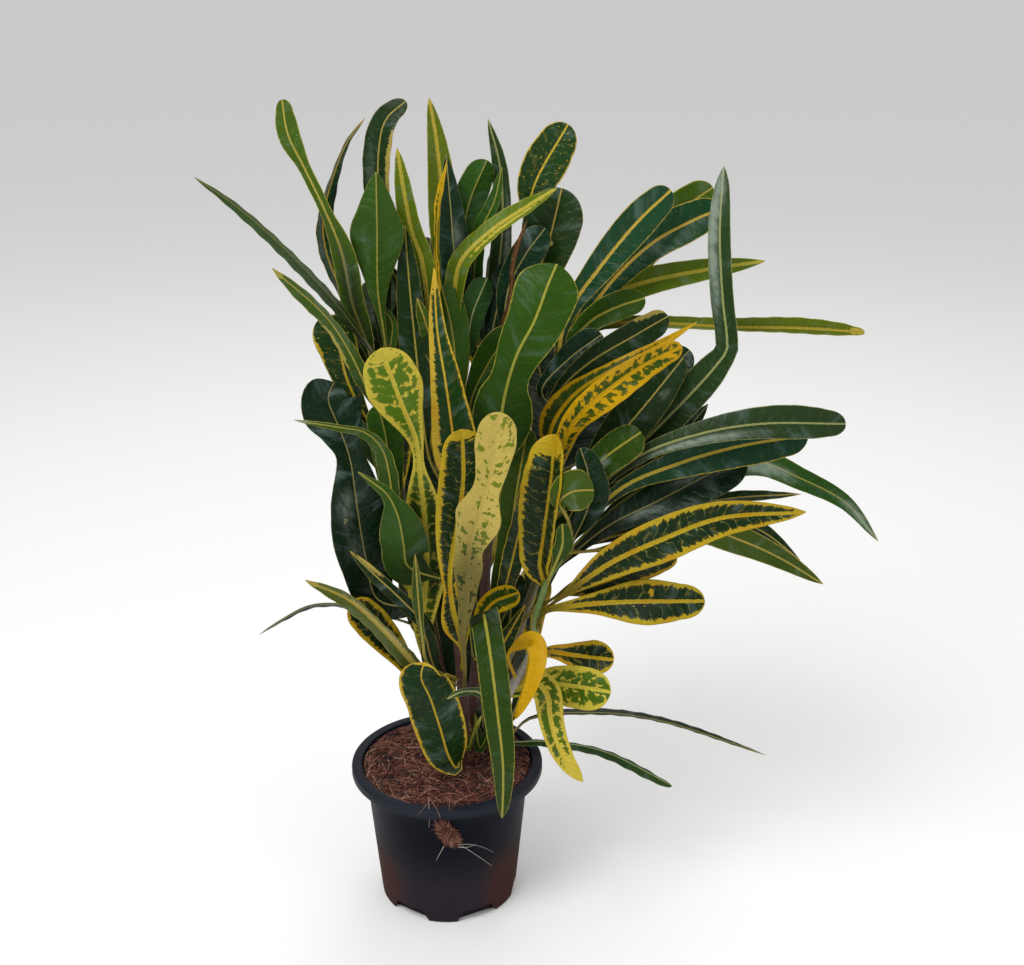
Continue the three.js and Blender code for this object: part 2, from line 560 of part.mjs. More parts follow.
// A closed solid from rings of equal point counts. The second half of each ring lies under the
// first half, and is split into triangles along the same lines.
function loft(rings) {
  const count = rings[0].length;
  const position = rings.flat().flatMap((point) => [point.x, point.y, point.z]);
  const index = [];
  for (let i = 0; i < rings.length - 1; i += 1) {
    for (let k = 0; k < count; k += 1) {
      const a = i * count + k;
      const b = i * count + ((k + 1) % count);
      const c = b + count;
      const d = a + count;
      if (k < count / 2) {
        index.push(a, b, c, a, c, d);
      } else {
        index.push(a, b, d, b, c, d);
      }
    }
  }
  const last = (rings.length - 1) * count;
  for (let k = 0; k < count / 2 - 1; k += 1) {
    const [a, b, c, d] = [k, k + 1, count - 2 - k, count - 1 - k];
    index.push(a, c, b, a, d, c);
    index.push(last + a, last + b, last + c, last + a, last + c, last + d);
  }
  const geometry = new THREE.BufferGeometry();
  geometry.setAttribute("position", new THREE.Float32BufferAttribute(position, 3));
  geometry.setIndex(index);
  return geometry;
}

// Solids for joining and cutting
function solid(geometry) {
  const bare = geometry.clone();
  bare.deleteAttribute("normal");
  bare.deleteAttribute("uv");
  const merged = mergeVertices(bare, 1e-4);
  return new wasm.Manifold(new wasm.Mesh({
    numProp: 3,
    vertProperties: new Float32Array(merged.attributes.position.array),
    triVerts: new Uint32Array(merged.index.array),
  }));
}

function geometryOf(manifold) {
  const mesh = manifold.getMesh();
  const geometry = new THREE.BufferGeometry();
  geometry.setAttribute("position", new THREE.Float32BufferAttribute(mesh.vertProperties, 3));
  geometry.setIndex(Array.from(mesh.triVerts));
  return geometry;
}

// The one body of a joined solid: hollows sealed inside it are filled, and loose scraps dropped
function oneBody(manifold) {
  return manifold.decompose().reduce((best, part) => (part.volume() > best.volume() ? part : best));
}

function upright(geometry) {
  return geometry.rotateX(Math.PI / 2);
}

// The pot: a turned floor, a wall that widens to a collar, and a lip round it, with the drain notches
// cut out of its foot
function innerRadius(height) {
  const share = height / potHeight;
  return baseRadius + share * (wallTopRadius - baseRadius) - wallThickness;
}

function wallRadius(height) {
  return innerRadius(height) + wallThickness;
}

function lathe(profile) {
  return upright(new THREE.LatheGeometry(profile.map(([r, z]) => new THREE.Vector2(r, z)), potSides));
}

const notchAngles = Array.from({ length: notchCount }, (_, i) => (
  (notchFirstAngle + (i * 360) / notchCount) * degrees
));

// A notch's block, made larger all round by grow
function notch(angle, grow) {
  const inner = notchInnerRadius - grow;
  const outline = new THREE.Shape([
    new THREE.Vector2(-notchFoot / 2 - grow, -1),
    new THREE.Vector2(notchFoot / 2 + grow, -1),
    new THREE.Vector2(notchTop / 2 + grow, notchHeight + grow),
    new THREE.Vector2(-notchTop / 2 - grow, notchHeight + grow),
  ]);
  const depth = baseRadius + notchReach - inner;
  const block = new THREE.ExtrudeGeometry(outline, { depth, bevelEnabled: false });
  block.translate(0, 0, inner);
  return solid(upright(block).rotateZ(angle));
}

function potGeometry() {
  const underLip = potHeight - lipThickness;
  const skirtEnd = potHeight - lipDrop;
  let pot = solid(lathe([
    [0, 0],
    [baseRadius, 0],
    [wallRadius(collarLow), collarLow],
    [collarRadius + wallThickness, collarHigh],
    [collarRadius + wallThickness, underLip],
    [lipRadius - skirtThickness, underLip],
    [lipRadius - skirtThickness - 0.6, skirtEnd],
    [lipRadius - 0.8, skirtEnd],
    [lipRadius, skirtEnd + 1],
    [lipRadius, potHeight - 1.8],
    [lipRadius - 1.8, potHeight],
    [collarRadius, potHeight],
    [collarRadius, collarHigh],
    [innerRadius(collarLow), collarLow],
    [innerRadius(floorThickness), floorThickness],
    [0, floorThickness],
  ]));
  // the pockets end inside the wall and the floor, half a wall from their outside
  const low = floorThickness / 2;
  const high = notchHeight + 2 * pocketWall;
  const within = solid(lathe([
    [0, low],
    [wallRadius(low) - wallThickness / 2, low],
    [wallRadius(high) - wallThickness / 2, high],
    [0, high],
  ]));
  for (const angle of notchAngles) {
    pot = pot.add(notch(angle, pocketWall).intersect(within)).subtract(notch(angle, 0));
  }
  return geometryOf(pot);
}

// Stems, as tapered tubes from their foot in the soil along their path
function stemCurve(stem) {
  const [x, y] = stem.foot;
  const inSoil = photographed(new THREE.Vector3(x, y, soilLevel() - stemFoot));
  const atSurface = photographed(new THREE.Vector3(x, y, soilLevel() + soilCrown + stemRise));
  return { inSoil, above: [atSurface, ...stem.path.map((point) => new THREE.Vector3(...point))] };
}

function stemRadius(share) {
  return stemFootRadius + share * (stemTopRadius - stemFootRadius);
}

function ringAround(centre, along, radius) {
  const side = new THREE.Vector3(0, 1, 0).cross(along).normalize();
  const back = along.clone().cross(side).normalize();
  return Array.from({ length: stemSides }, (_, k) => {
    const angle = ((k + 0.5) * 2 * Math.PI) / stemSides;
    return centre.clone()
      .addScaledVector(side, radius * Math.cos(angle))
      .addScaledVector(back, radius * Math.sin(angle));
  });
}

function stemSolid(stem) {
  const run = alongCurve(stemCurve(stem).above, evenShares(stemSteps));
  const centres = run.map((at) => seen(at.x, at.y, at.z));
  const up = new THREE.Vector3(0, 0, 1);
  const [x, y] = stem.foot;
  const rings = [ringAround(new THREE.Vector3(x, y, soilLevel() - stemFoot), up, stemFootRadius)];
  centres.forEach((centre, i) => {
    const next = centres[Math.min(i + 1, centres.length - 1)];
    const along = i === 0 ? up : next.clone().sub(centres[i - 1]).normalize();
    rings.push(ringAround(centre, along, stemRadius(i / (centres.length - 1))));
  });
  return solid(loft(rings));
}

// The soil: a plug a little smaller than the pot's inside, with an uneven crown, stem holes and
// room for the pockets
function soilHeight(x, y) {
  const far = Math.hypot(x, y) / collarRadius;
  const lumps = Math.sin(x * 0.13 + 1) * Math.cos(y * 0.11) + 0.6 * Math.sin(x * 0.27 - y * 0.21);
  return soilCrown * (1 - far * far) + soilRoughness * lumps * (1 - far ** 4);
}

function soilGeometry() {
  const bottom = floorThickness + soilGap;
  const top = soilLevel();
  const rim = collarRadius - soilGap;
  const profile = [
    [0, bottom],
    [innerRadius(bottom) - soilGap, bottom],
    [innerRadius(collarLow) - soilGap, collarLow + soilGap],
    [rim, collarHigh + soilGap],
  ];
  [...soilRings].reverse().forEach((share) => profile.push([share * rim, top]));
  const plug = lathe(profile);
  const position = plug.attributes.position;
  for (let i = 0; i < position.count; i += 1) {
    if (position.getZ(i) > collarHigh + 1) {
      position.setZ(i, top + soilHeight(position.getX(i), position.getY(i)));
    }
  }
  let soil = solid(plug);
  for (const angle of notchAngles) {
    soil = soil.subtract(notch(angle, pocketWall + soilGap));
  }
  const up = new THREE.Vector3(0, 0, 1);
  for (const { foot: [x, y] } of Object.values(stems)) {
    const low = new THREE.Vector3(x, y, top - stemFoot - holeGap);
    const high = new THREE.Vector3(x, y, top + holeRise);
    const wide = stemFootRadius + holeGap;
    soil = soil.subtract(solid(loft([ringAround(low, up, wide), ringAround(high, up, wide)])));
  }
  return geometryOf(soil);
}

// Where a leaf grows from its stem: the stem's point nearest to just below the leaf's first point
function rootedPath(row) {
  const along = alongCurve(stemCurve(stems[row.stem]).above, evenShares(rootSteps)).slice(lowestRoot);
  const [across, down] = row.path[0];
  const near = (at) => Math.hypot(at.x - across, at.y - down - rootDrop);
  const root = along.reduce((best, at) => (near(at) < near(best) ? at : best));
  return [root, ...row.path.map((point) => new THREE.Vector3(...point))];
}

// Leaves make way for each other in depth, which leaves their places in the photograph alone.
// Where two overlap as seen, the one behind (on average) is kept far enough behind the other.
function makeWay() {
  const count = makingWay.stations;
  const stations = [];
  leaves.forEach((row, piece) => {
    alongCurve(rootedPath(row), evenShares(count)).forEach((at, i) => {
      const share = i / (count - 1);
      const wide = halfWidth(row, share);
      stations.push({
        at,
        piece,
        reach: wide * Math.cos(row.roll * degrees) + pixelRoom,
        thick: rolledShare * wide * Math.abs(Math.sin(row.roll * degrees)),
        free: Math.min(1, share / makingWay.stiffShare) ** 2,
        shift: 0,
      });
    });
  });
  Object.values(stems).forEach((stem, k) => {
    alongCurve(stemCurve(stem).above, evenShares(2 * count)).forEach((at, i) => {
      const wide = stemRadius(i / (2 * count - 1));
      stations.push({ at, piece: leaves.length + k, reach: wide, thick: wide, free: 0, shift: 0 });
    });
  });
  const own = (a, b) => a.piece < leaves.length && b.piece === leaves.length
    + Object.keys(stems).indexOf(leaves[a.piece].stem);
  const meetings = [];
  const order = new Map();
  for (let i = 0; i < stations.length; i += 1) {
    for (let j = i + 1; j < stations.length; j += 1) {
      const [a, b] = [stations[i], stations[j]];
      if (a.piece !== b.piece && !own(a, b) && a.free + b.free > 0
        && Math.hypot(a.at.x - b.at.x, a.at.y - b.at.y) < a.reach + b.reach) {
        const key = `${a.piece} ${b.piece}`;
        order.set(key, (order.get(key) ?? 0) + b.at.z - a.at.z);
        meetings.push({ a, b, key, need: leafRoom + a.thick + b.thick });
      }
    }
  }
  for (let round = 0; round < makingWay.rounds; round += 1) {
    stations.forEach((station) => {
      station.push = 0;
      station.pushes = 0;
    });
    for (const { a, b, key, need } of meetings) {
      const way = order.get(key) < 0 ? -1 : 1;
      const lack = need - way * (b.at.z + b.shift - a.at.z - a.shift);
      if (lack > 0) {
        const each = (way * lack) / (a.free + b.free);
        a.push -= each * a.free;
        b.push += each * b.free;
        a.pushes += 1;
        b.pushes += 1;
      }
    }
    stations.forEach((station) => {
      station.shift += station.pushes ? (makingWay.step * station.push) / station.pushes : 0;
    });
    const before = stations.map((station) => station.shift);
    for (let i = 0; i < leaves.length * count; i += 1) {
      const isRoot = i % count === 0;
      const isTip = i % count === count - 1;
      const middle = isTip ? before[i - 1] : (before[i - 1] + before[i + 1]) / 2;
      stations[i].shift = isRoot ? 0 : before[i] + makingWay.smooth * (middle - before[i]);
    }
  }
  leaves.forEach((row, piece) => {
    row.shifts = stations.slice(piece * count, (piece + 1) * count).map((station) => station.shift);
  });
}

// The middle line of a leaf in space, at given shares of its length
function midrib(row, shares) {
  const last = makingWay.stations - 1;
  return alongCurve(rootedPath(row), shares).map((at, i) => {
    const place = shares[i] * last;
    const low = Math.min(Math.floor(place), last - 1);
    const shift = row.shifts[low] + (place - low) * (row.shifts[low + 1] - row.shifts[low]);
    return seen(at.x, at.y, at.z + shift);
  });
}

// A leaf: a thin blade with a fold at its midrib and waves along its edges
function leafSolid(row) {
  const path = rootedPath(row);
  const photoLength = path.reduce((sum, at, i) => sum + (i ? at.distanceTo(path[i - 1]) : 0), 0);
  const shares = photoLength < shortLeaf ? shortStations : bladeStations;
  const centres = midrib(row, shares);
  const rings = centres.map((centre, i) => {
    const before = centres[Math.max(i - 1, 0)];
    const after = centres[Math.min(i + 1, centres.length - 1)];
    const along = after.clone().sub(before).normalize();
    const toEye = eyePoint.clone().sub(centre).normalize();
    const facing = toEye.addScaledVector(along, -toEye.dot(along)).normalize();
    const across = along.clone().cross(facing);
    const face = facing.clone().applyAxisAngle(along, -row.roll * degrees);
    const side = across.clone().applyAxisAngle(along, -row.roll * degrees);
    const wide = halfWidth(row, shares[i]);
    const top = row.under ? -1 : 1;
    const blade = Math.min(1, wide / (row.width / 2));
    const edge = (way) => {
      const wave = row.wave * blade * Math.sin(2 * Math.PI * wavesPerLeaf * shares[i] + way);
      const rise = top * wide * Math.sin(row.fold * degrees) + wave;
      return centre.clone()
        .addScaledVector(side, way * wide * Math.cos(row.fold * degrees))
        .addScaledVector(face, rise);
    };
    const points = [edge(-1), centre, edge(1)];
    const thick = [edgeThickness, midribThickness, edgeThickness];
    const upper = points.map((point, k) => point.clone().addScaledVector(face, thick[k] / 2));
    const lower = points.map((point, k) => point.clone().addScaledVector(face, -thick[k] / 2));
    return [...upper, ...lower.reverse()];
  });
  return solid(loft(rings));
}

// The whole plant
makeWay();

const group = new THREE.Group();

function add(name, geometry, look) {
  const mesh = new THREE.Mesh(geometry, new THREE.MeshStandardMaterial(look));
  mesh.name = name;
  group.add(mesh);
}

add("pot", potGeometry(), potColour);
add("soil", soilGeometry(), soilColour);
for (const [name, stem] of Object.entries(stems)) {
  let body = stemSolid(stem);
  for (const row of leaves.filter((each) => each.stem === name)) {
    body = body.add(leafSolid(row));
  }
  add(stem.node, geometryOf(oneBody(body)), { color: leafColours[name], roughness: 0.4, metalness: 0 });
}

export default group;
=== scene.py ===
import math
import bpy
import numpy as np
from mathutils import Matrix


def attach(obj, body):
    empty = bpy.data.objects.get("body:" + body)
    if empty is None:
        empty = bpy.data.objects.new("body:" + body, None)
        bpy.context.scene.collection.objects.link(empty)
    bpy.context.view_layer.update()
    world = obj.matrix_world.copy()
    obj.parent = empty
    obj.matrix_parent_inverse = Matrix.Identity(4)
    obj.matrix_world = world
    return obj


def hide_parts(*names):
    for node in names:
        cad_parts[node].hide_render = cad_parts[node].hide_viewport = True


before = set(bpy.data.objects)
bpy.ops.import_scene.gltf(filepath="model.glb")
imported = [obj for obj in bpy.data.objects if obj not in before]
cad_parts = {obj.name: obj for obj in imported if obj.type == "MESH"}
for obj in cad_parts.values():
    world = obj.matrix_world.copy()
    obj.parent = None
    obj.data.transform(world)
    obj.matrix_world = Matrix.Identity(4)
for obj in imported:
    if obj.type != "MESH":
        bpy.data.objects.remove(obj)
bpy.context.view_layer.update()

print("frame loaded:", len(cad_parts), "nodes")

# Lengths are in millimetres until a surface is made, and +Z is up
mm = 0.001

# The viewer's eye: where it stands, how far it looks down, and its lens in pixels
eye = {"place": (67.5, -1313.0, 953.7), "lookDown": 20.634, "focal": 1450.0,
       "middle": (512.0, 482.5), "frameWidth": 1024.0, "sensor": 36.0}
eyePlace = np.array(eye["place"])
lookDown = math.radians(eye["lookDown"])
forward = np.array([0, math.cos(lookDown), -math.sin(lookDown)])
upward = np.array([0, math.sin(lookDown), math.cos(lookDown)])


def seen(points):
    # a photo point (across, down) at a depth along +Y: eye + ray * (depth - eye depth) / ray's depth
    points = np.asarray(points, float)
    ray = forward + ((points[..., :1] - eye["middle"][0]) * np.array([1.0, 0, 0])
                     + (eye["middle"][1] - points[..., 1:2]) * upward) / eye["focal"]
    return eyePlace + ray * ((points[..., 2:] - eyePlace[1]) / ray[..., 1:2])


def photographed(point):
    # where the eye sees a point of the plant: middle + focal length * offset / distance, and its depth
    offset = np.asarray(point, float) - eyePlace
    far = offset @ forward
    return [eye["middle"][0] + eye["focal"] * offset[0] / far,
            eye["middle"][1] - eye["focal"] * (offset @ upward) / far, point[1]]


# Stage: a pale floor, a white sky and three soft lights (metres, watts)
stage = {"floor": 80.0, "floorColour": (0.95, 0.95, 0.945), "floorRoughness": 0.9, "sky": 0.62,
         "lights": {"key": {"place": (-0.9, -1.3, 2.5), "size": 1.4, "power": 40},
                    "fill": {"place": (1.9, -1.4, 1.2), "size": 1.6, "power": 6},
                    "back": {"place": (0.3, 1.5, 2.3), "size": 1.6, "power": 13}},
         "target": (0.06, 0, 0.42)}


def added(name, data):
    # a new object that holds a mesh, a light or a lens, put in the scene
    made = bpy.data.objects.new(name, data)
    bpy.context.collection.objects.link(made)
    return made


def aim(thing, target):
    # a light shines along its own -Z, which is turned from straight down to the target
    away = np.asarray(thing.location) - np.asarray(target, float)
    thing.rotation_euler = (math.atan2(math.hypot(away[0], away[1]), away[2]), 0,
                            math.atan2(away[1], away[0]) + math.pi / 2)


def setStage():
    lens = bpy.data.cameras.new("viewer")
    lens.sensor_width = eye["sensor"]
    lens.lens = eye["focal"] / eye["frameWidth"] * eye["sensor"]
    camera = added("viewer", lens)
    camera.location = eyePlace * mm
    camera.rotation_euler = (math.pi / 2 - lookDown, 0, 0)
    bpy.context.scene.camera = camera
    for name, values in stage["lights"].items():
        light = bpy.data.lights.new(name, "AREA")
        light.shape = "DISK"
        light.size = values["size"]
        light.energy = values["power"]
        lamp = added(name, light)
        lamp.location = values["place"]
        aim(lamp, stage["target"])
    world = bpy.data.worlds.new("sky")
    world.use_nodes = True
    sky = world.node_tree.nodes["Background"]
    sky.inputs["Color"].default_value = (1, 1, 1, 1)
    sky.inputs["Strength"].default_value = stage["sky"]
    bpy.context.scene.world = world
    bpy.context.scene.view_settings.view_transform = "Standard"
    half = stage["floor"] / 2
    corners = [(-half, -half, 0), (half, -half, 0), (half, half, 0), (-half, half, 0)]
    mesh = bpy.data.meshes.new("floor")
    mesh.from_pydata(corners, [], [(0, 1, 2, 3)])
    floor = added("floor", mesh)
    paint = bpy.data.materials.new("floor")
    paint.use_nodes = True
    shader = paint.node_tree.nodes["Principled BSDF"]
    shader.inputs["Base Color"].default_value = (*stage["floorColour"], 1)
    shader.inputs["Roughness"].default_value = stage["floorRoughness"]
    mesh.materials.append(paint)


setStage()
print("stage set")


class Wire:
    # one output of a node, which Python's operators turn into further math nodes
    def __init__(self, paint, socket):
        self.paint = paint
        self.socket = socket

    def __add__(self, other):
        return self.paint.math("ADD", self, other)

    def __sub__(self, other):
        return self.paint.math("SUBTRACT", self, other)

    def __mul__(self, other):
        return self.paint.math("MULTIPLY", self, other)

    def __truediv__(self, other):
        return self.paint.math("DIVIDE", self, other)

    def __rsub__(self, other):
        return self.paint.math("SUBTRACT", other, self)

    def __rtruediv__(self, other):
        return self.paint.math("DIVIDE", other, self)

    def __abs__(self):
        return self.paint.math("ABSOLUTE", self)

    __radd__ = __add__
    __rmul__ = __mul__

    def step(self, low, high):
        # a smooth step: 0 up to low, 1 from high on
        return self.paint.node("ShaderNodeMapRange", {"interpolation_type": "SMOOTHSTEP"},
                               {0: self, 1: low, 2: high, 3: 0.0, 4: 1.0})


class Paint:
    # a material and the short ways to add nodes to it
    def __init__(self, name):
        self.material = bpy.data.materials.new(name)
        self.material.use_nodes = True
        self.tree = self.material.node_tree
        self.shader = self.tree.nodes["Principled BSDF"]

    def node(self, kind, settings=None, sockets=None, out=0):
        made = self.tree.nodes.new(kind)
        for name, value in (settings or {}).items():
            setattr(made, name, value)
        self.fill(made, sockets or {})
        return Wire(self, made.outputs[out])

    def fill(self, made, sockets):
        for name, value in sockets.items():
            if isinstance(value, Wire):
                self.tree.links.new(value.socket, made.inputs[name])
            else:
                made.inputs[name].default_value = value

    def math(self, operation, *values):
        return self.node("ShaderNodeMath", {"operation": operation}, dict(enumerate(values)))

    def most(self, first, *others):
        for other in others:
            first = self.math("MAXIMUM", first, other)
        return first

    def mix(self, share, first, second):
        # of a colour mix, 0 is the share, 6 and 7 are the two colours, and output 2 is the result
        return self.node("ShaderNodeMix", {"data_type": "RGBA"}, {0: share, 6: first, 7: second}, 2)

    def noise(self, where, scale, detail=3.0, roughness=0.55):
        return self.node("ShaderNodeTexNoise", None,
                         {"Vector": where, "Scale": scale, "Detail": detail, "Roughness": roughness})

    def vector(self, x, y, z):
        return self.node("ShaderNodeCombineXYZ", None, {0: x, 1: y, 2: z})

    def parts(self, vector):
        split = self.tree.nodes.new("ShaderNodeSeparateXYZ")
        self.tree.links.new(vector.socket, split.inputs[0])
        return [Wire(self, socket) for socket in split.outputs]

    def attribute(self, name, out="Vector"):
        return self.node("ShaderNodeAttribute", {"attribute_name": name}, None, out)

    def place(self):
        return self.node("ShaderNodeTexCoord", None, None, "Object")

    def bump(self, height, distance, strength=1.0):
        return self.node("ShaderNodeBump", None,
                         {"Height": height, "Distance": distance, "Strength": strength})

    def done(self, sockets):
        self.fill(self.shader, sockets)
        return self.material


def colour(code, share=1.0):
    # a web colour as the linear values that a shader takes, made darker or lighter by a share
    values = [int(code[i:i + 2], 16) / 255 for i in (1, 3, 5)]
    linear = [value / 12.92 if value <= 0.04045 else ((value + 0.055) / 1.055) ** 2.4 for value in values]
    return (*(min(1.0, share * value) for value in linear), 1.0)


def piece(name, points, faces, paint, marks=None, replaces=()):
    # one finished object from points (mm), faces and values on its points
    mesh = bpy.data.meshes.new(name)
    mesh.from_pydata((np.asarray(points) * mm).tolist(), [], faces)
    for mark, values in (marks or {}).items():
        values = np.asarray(values, np.float32)
        kind = "FLOAT" if values.ndim == 1 else "FLOAT_VECTOR"
        data = mesh.attributes.new(mark, kind, "POINT").data
        data.foreach_set("value" if values.ndim == 1 else "vector", values.ravel())
    mesh.shade_smooth()
    mesh.update()
    mesh.materials.append(paint)
    made = added(name, mesh)
    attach(made, "root")
    if replaces:
        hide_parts(*replaces)
    return made


def joined(parts):
    # the points and faces of several surfaces as those of one
    points, faces, start = [], [], 0
    for some, quads in parts:
        points.append(some)
        faces += [[start + corner for corner in quad] for quad in quads]
        start += len(some)
    return np.vstack(points), faces


def spread(columns, shape):
    # values that run along either way of a grid, each filled out to all of it
    return np.stack([np.broadcast_to(column, shape) for column in columns], -1)


def circle(angles):
    # points (cos, sin) of the unit circle
    return np.stack([np.cos(angles), np.sin(angles)], -1)


def roundAngles(count):
    # a full turn in equal steps
    return np.arange(count) * 2 * math.pi / count


def lathe(radii, heights, turns):
    # a profile turned about +Z: (radius cos, radius sin, height)
    x, y = radii[:, None] * circle(roundAngles(turns)).T[:, None]
    return spread((x, y, heights[:, None]), x.shape)


def tube(centres, side, back, radii):
    # rings about a way: centre + radius * (side cos + back sin), with a radius for each of their points
    turns = circle(roundAngles(radii.shape[-1]))
    return centres[..., None, :] + radii[..., None] * (
        turns[:, :1] * side[..., None, :] + turns[:, 1:] * back[..., None, :])


def sheet(rows, columns):
    # quads of a grid whose columns run round
    i, k = np.meshgrid(np.arange(rows - 1), np.arange(columns), indexing="ij")
    nextOne = (k + 1) % columns
    return np.stack([i * columns + k, i * columns + nextOne,
                     (i + 1) * columns + nextOne, (i + 1) * columns + k], -1).reshape(-1, 4)


def capped(rings):
    # a tube of rings (rows, columns, 3) closed by a point in the middle of each end
    rows, columns = rings.shape[:2]
    points = np.concatenate([rings.reshape(-1, 3), rings[0].mean(0)[None], rings[-1].mean(0)[None]])
    k = np.arange(columns)
    after = (k + 1) % columns
    first, last = rows * columns, rows * columns + 1
    top = (rows - 1) * columns
    fans = np.concatenate([np.stack([after, k, np.full(columns, first)], -1),
                           np.stack([top + k, top + after, np.full(columns, last)], -1)])
    return points, sheet(rows, columns).tolist() + fans.tolist()


def cappedMarks(values):
    # values on such a tube's rings, with the first and the last of them again for the two middles
    flat = values.reshape(values.shape[0] * values.shape[1], -1)
    flat = np.vstack([flat, flat[:1], flat[-1:]])
    return flat[:, 0] if flat.shape[1] == 1 else flat


def unit(vectors):
    # vectors over their own length
    return vectors / np.maximum(np.linalg.norm(vectors, axis=-1, keepdims=True), 1e-9)


def reachedAlong(points):
    # the length of a way up to each of its points
    return np.concatenate([[0], np.cumsum(np.linalg.norm(np.diff(points, axis=0), axis=1))])


def curvePoints(controls, each=40):
    # centripetal Catmull-Rom curve: cubic pieces whose end slopes follow the root of the chord lengths
    controls = np.asarray(controls, float)
    first, last = 2 * controls[0] - controls[1], 2 * controls[-1] - controls[-2]
    knots = np.vstack([first, controls, last])
    gaps = np.linalg.norm(np.diff(knots, axis=0), axis=1) ** 0.5
    s = (np.arange(each) / each)[:, None]
    pieces = []
    for i in range(len(controls) - 1):
        x0, x1, x2, x3 = knots[i:i + 4]
        d0, d1, d2 = gaps[i:i + 3]
        t1 = ((x1 - x0) / d0 - (x2 - x0) / (d0 + d1) + (x2 - x1) / d1) * d1
        t2 = ((x2 - x1) / d1 - (x3 - x1) / (d1 + d2) + (x3 - x2) / d2) * d1
        pieces.append(x1 + t1 * s + (3 * x2 - 3 * x1 - 2 * t1 - t2) * s ** 2
                      + (2 * x1 - 2 * x2 + t1 + t2) * s ** 3)
    return np.vstack([*pieces, controls[-1:]])


def alongCurve(controls, shares):
    # points at shares of the length of the curve through control points
    fine = curvePoints(controls)
    reached = reachedAlong(fine)
    places = np.asarray(shares) * reached[-1]
    return np.stack([np.interp(places, reached, fine[:, i]) for i in range(3)], -1)


# Pot: radii and heights from its underside (mm), its drain notches and its colours, among them the lip's
# painted highlight and navy streaks that are partly scuffs and partly painted reflection
pot = {"height": 152.0, "lipRadius": 99.0, "lipDrop": 10.0, "lipThickness": 2.4, "skirt": 2.2,
       "baseRadius": 71.0, "wallTop": 85.5, "wall": 2.4, "floor": 3.0,
       "collar": 88.5, "collarLow": 132.0, "collarHigh": 140.0, "turns": 200, "pointsApart": 9,
       "notches": 6, "firstNotch": 27.0, "notchFoot": 46.0, "notchTop": 32.0, "notchHeight": 13.0,
       "notchInner": 62.0, "notchBeyond": 10, "pocketWall": 2.0, "notchColumns": 9, "sharpFrom": 35,
       "gloss": 0.08, "black": "#040813", "scuffAndSheen": "#121a2c", "lip": "#2c2f38", "foot": "#302a31",
       "dust": "#43271f", "speck": "#8d8c88"}


def innerRadius(height):
    # inside of the wall, whose outside grows evenly from the base to the top
    share = height / pot["height"]
    return pot["baseRadius"] + share * (pot["wallTop"] - pot["baseRadius"]) - pot["wall"]


def potPaint():
    # black plastic with navy streaks that are partly scuffs and partly painted reflection, a painted
    # highlight on the lip, a few pale specks and dry red dust on the foot's two sides (metres)
    paint = Paint("pot")
    where = paint.place()
    x, y, z = paint.parts(where)
    cloud = paint.noise(where, 14.0, 4.0, 0.6)
    fine = paint.noise(where, 900.0, 3.0, 0.6)
    streak = paint.noise(paint.vector(x * 260, y * 260, z * 14), 1.0, 3.0, 0.6)
    speck = paint.noise(where, 300.0, 1.0, 0.5).step(0.81, 0.83)
    low = 1 - z.step(0.03, 0.1)
    left = (x * -1).step(0.035, 0.065)
    right = x.step(0.03, 0.06)
    dust = low * (left + right) * (0.5 + cloud) + low * 0.22
    # navy streaks up the wall: partly scuffs, partly painted reflection of the sky
    scuffSheenShare = (streak * cloud * 2).step(0.55, 0.9) * 0.3
    # painted highlight: a lighter grey-blue band on the lip, where the sky is reflected
    lip = z.step(0.141, 0.146) * (0.3 + 0.5 * cloud)
    tint = paint.mix(scuffSheenShare, colour(pot["black"]), colour(pot["scuffAndSheen"]))
    tint = paint.mix(lip, tint, colour(pot["lip"]))
    tint = paint.mix(low * (0.3 + 0.4 * cloud), tint, colour(pot["foot"]))
    tint = paint.mix(dust.step(0.0, 1.2) * (0.5 + 0.5 * fine), tint, colour(pot["dust"]))
    tint = paint.mix(speck * 0.6, tint, colour(pot["speck"]))
    return paint.done({"Base Color": tint, "Roughness": 0.4 + cloud * 0.14 + dust * 0.3,
                       "Specular IOR Level": pot["gloss"],
                       "Normal": paint.bump(fine * 0.4 + streak * 0.6, 0.0004, 0.25)})


def potProfile():
    # corners as (radius, height, softness): foot, wall, rolled lip with its skirt, and the inside down
    # to the floor. A soft corner is cut back on both sides, and long sides get points in between
    height, lip, floor = pot["height"], pot["lipRadius"], pot["floor"]
    under, end = height - pot["lipThickness"], height - pot["lipDrop"]
    collar, low, high = pot["collar"], pot["collarLow"], pot["collarHigh"]
    outer, skirt = collar + pot["wall"], lip - pot["skirt"]
    corners = [(0, 0, 0), (pot["baseRadius"], 0, 1.2), (innerRadius(low) + pot["wall"], low, 1.0),
               (outer, high, 1.0), (outer, under, 0.8), (skirt, under, 0.8), (skirt - 0.6, end, 0.5),
               (lip - 0.8, end, 0.4), (lip, end + 1, 0.6), (lip, height - 2, 0.8),
               (lip - 0.7, height - 0.6, 0.8), (lip - 2.2, height, 0.8), (collar + 0.6, height, 0.6),
               (collar, height - 0.8, 0.5), (collar, high, 1.0), (innerRadius(low), low, 1.0),
               (innerRadius(floor), floor, 0.8), (0, floor, 0)]
    profile = []
    for before, (r, z, soft), after in zip([corners[0], *corners], corners, [*corners[1:], corners[-1]]):
        here = np.array((r, z))
        for other in (before, after) if soft else (corners[0],):
            way = np.array(other[:2]) - here
            far = np.linalg.norm(way)
            profile.append(here + way / far * min(soft, far / 2.2) if soft else here)
    dense = [profile[0]]
    for a, b in zip(profile, profile[1:]):
        count = max(1, int(np.linalg.norm(b - a) // pot["pointsApart"]))
        dense += [a + (b - a) * (k + 1) / count for k in range(count)]
    return np.array(dense)[1:-1]


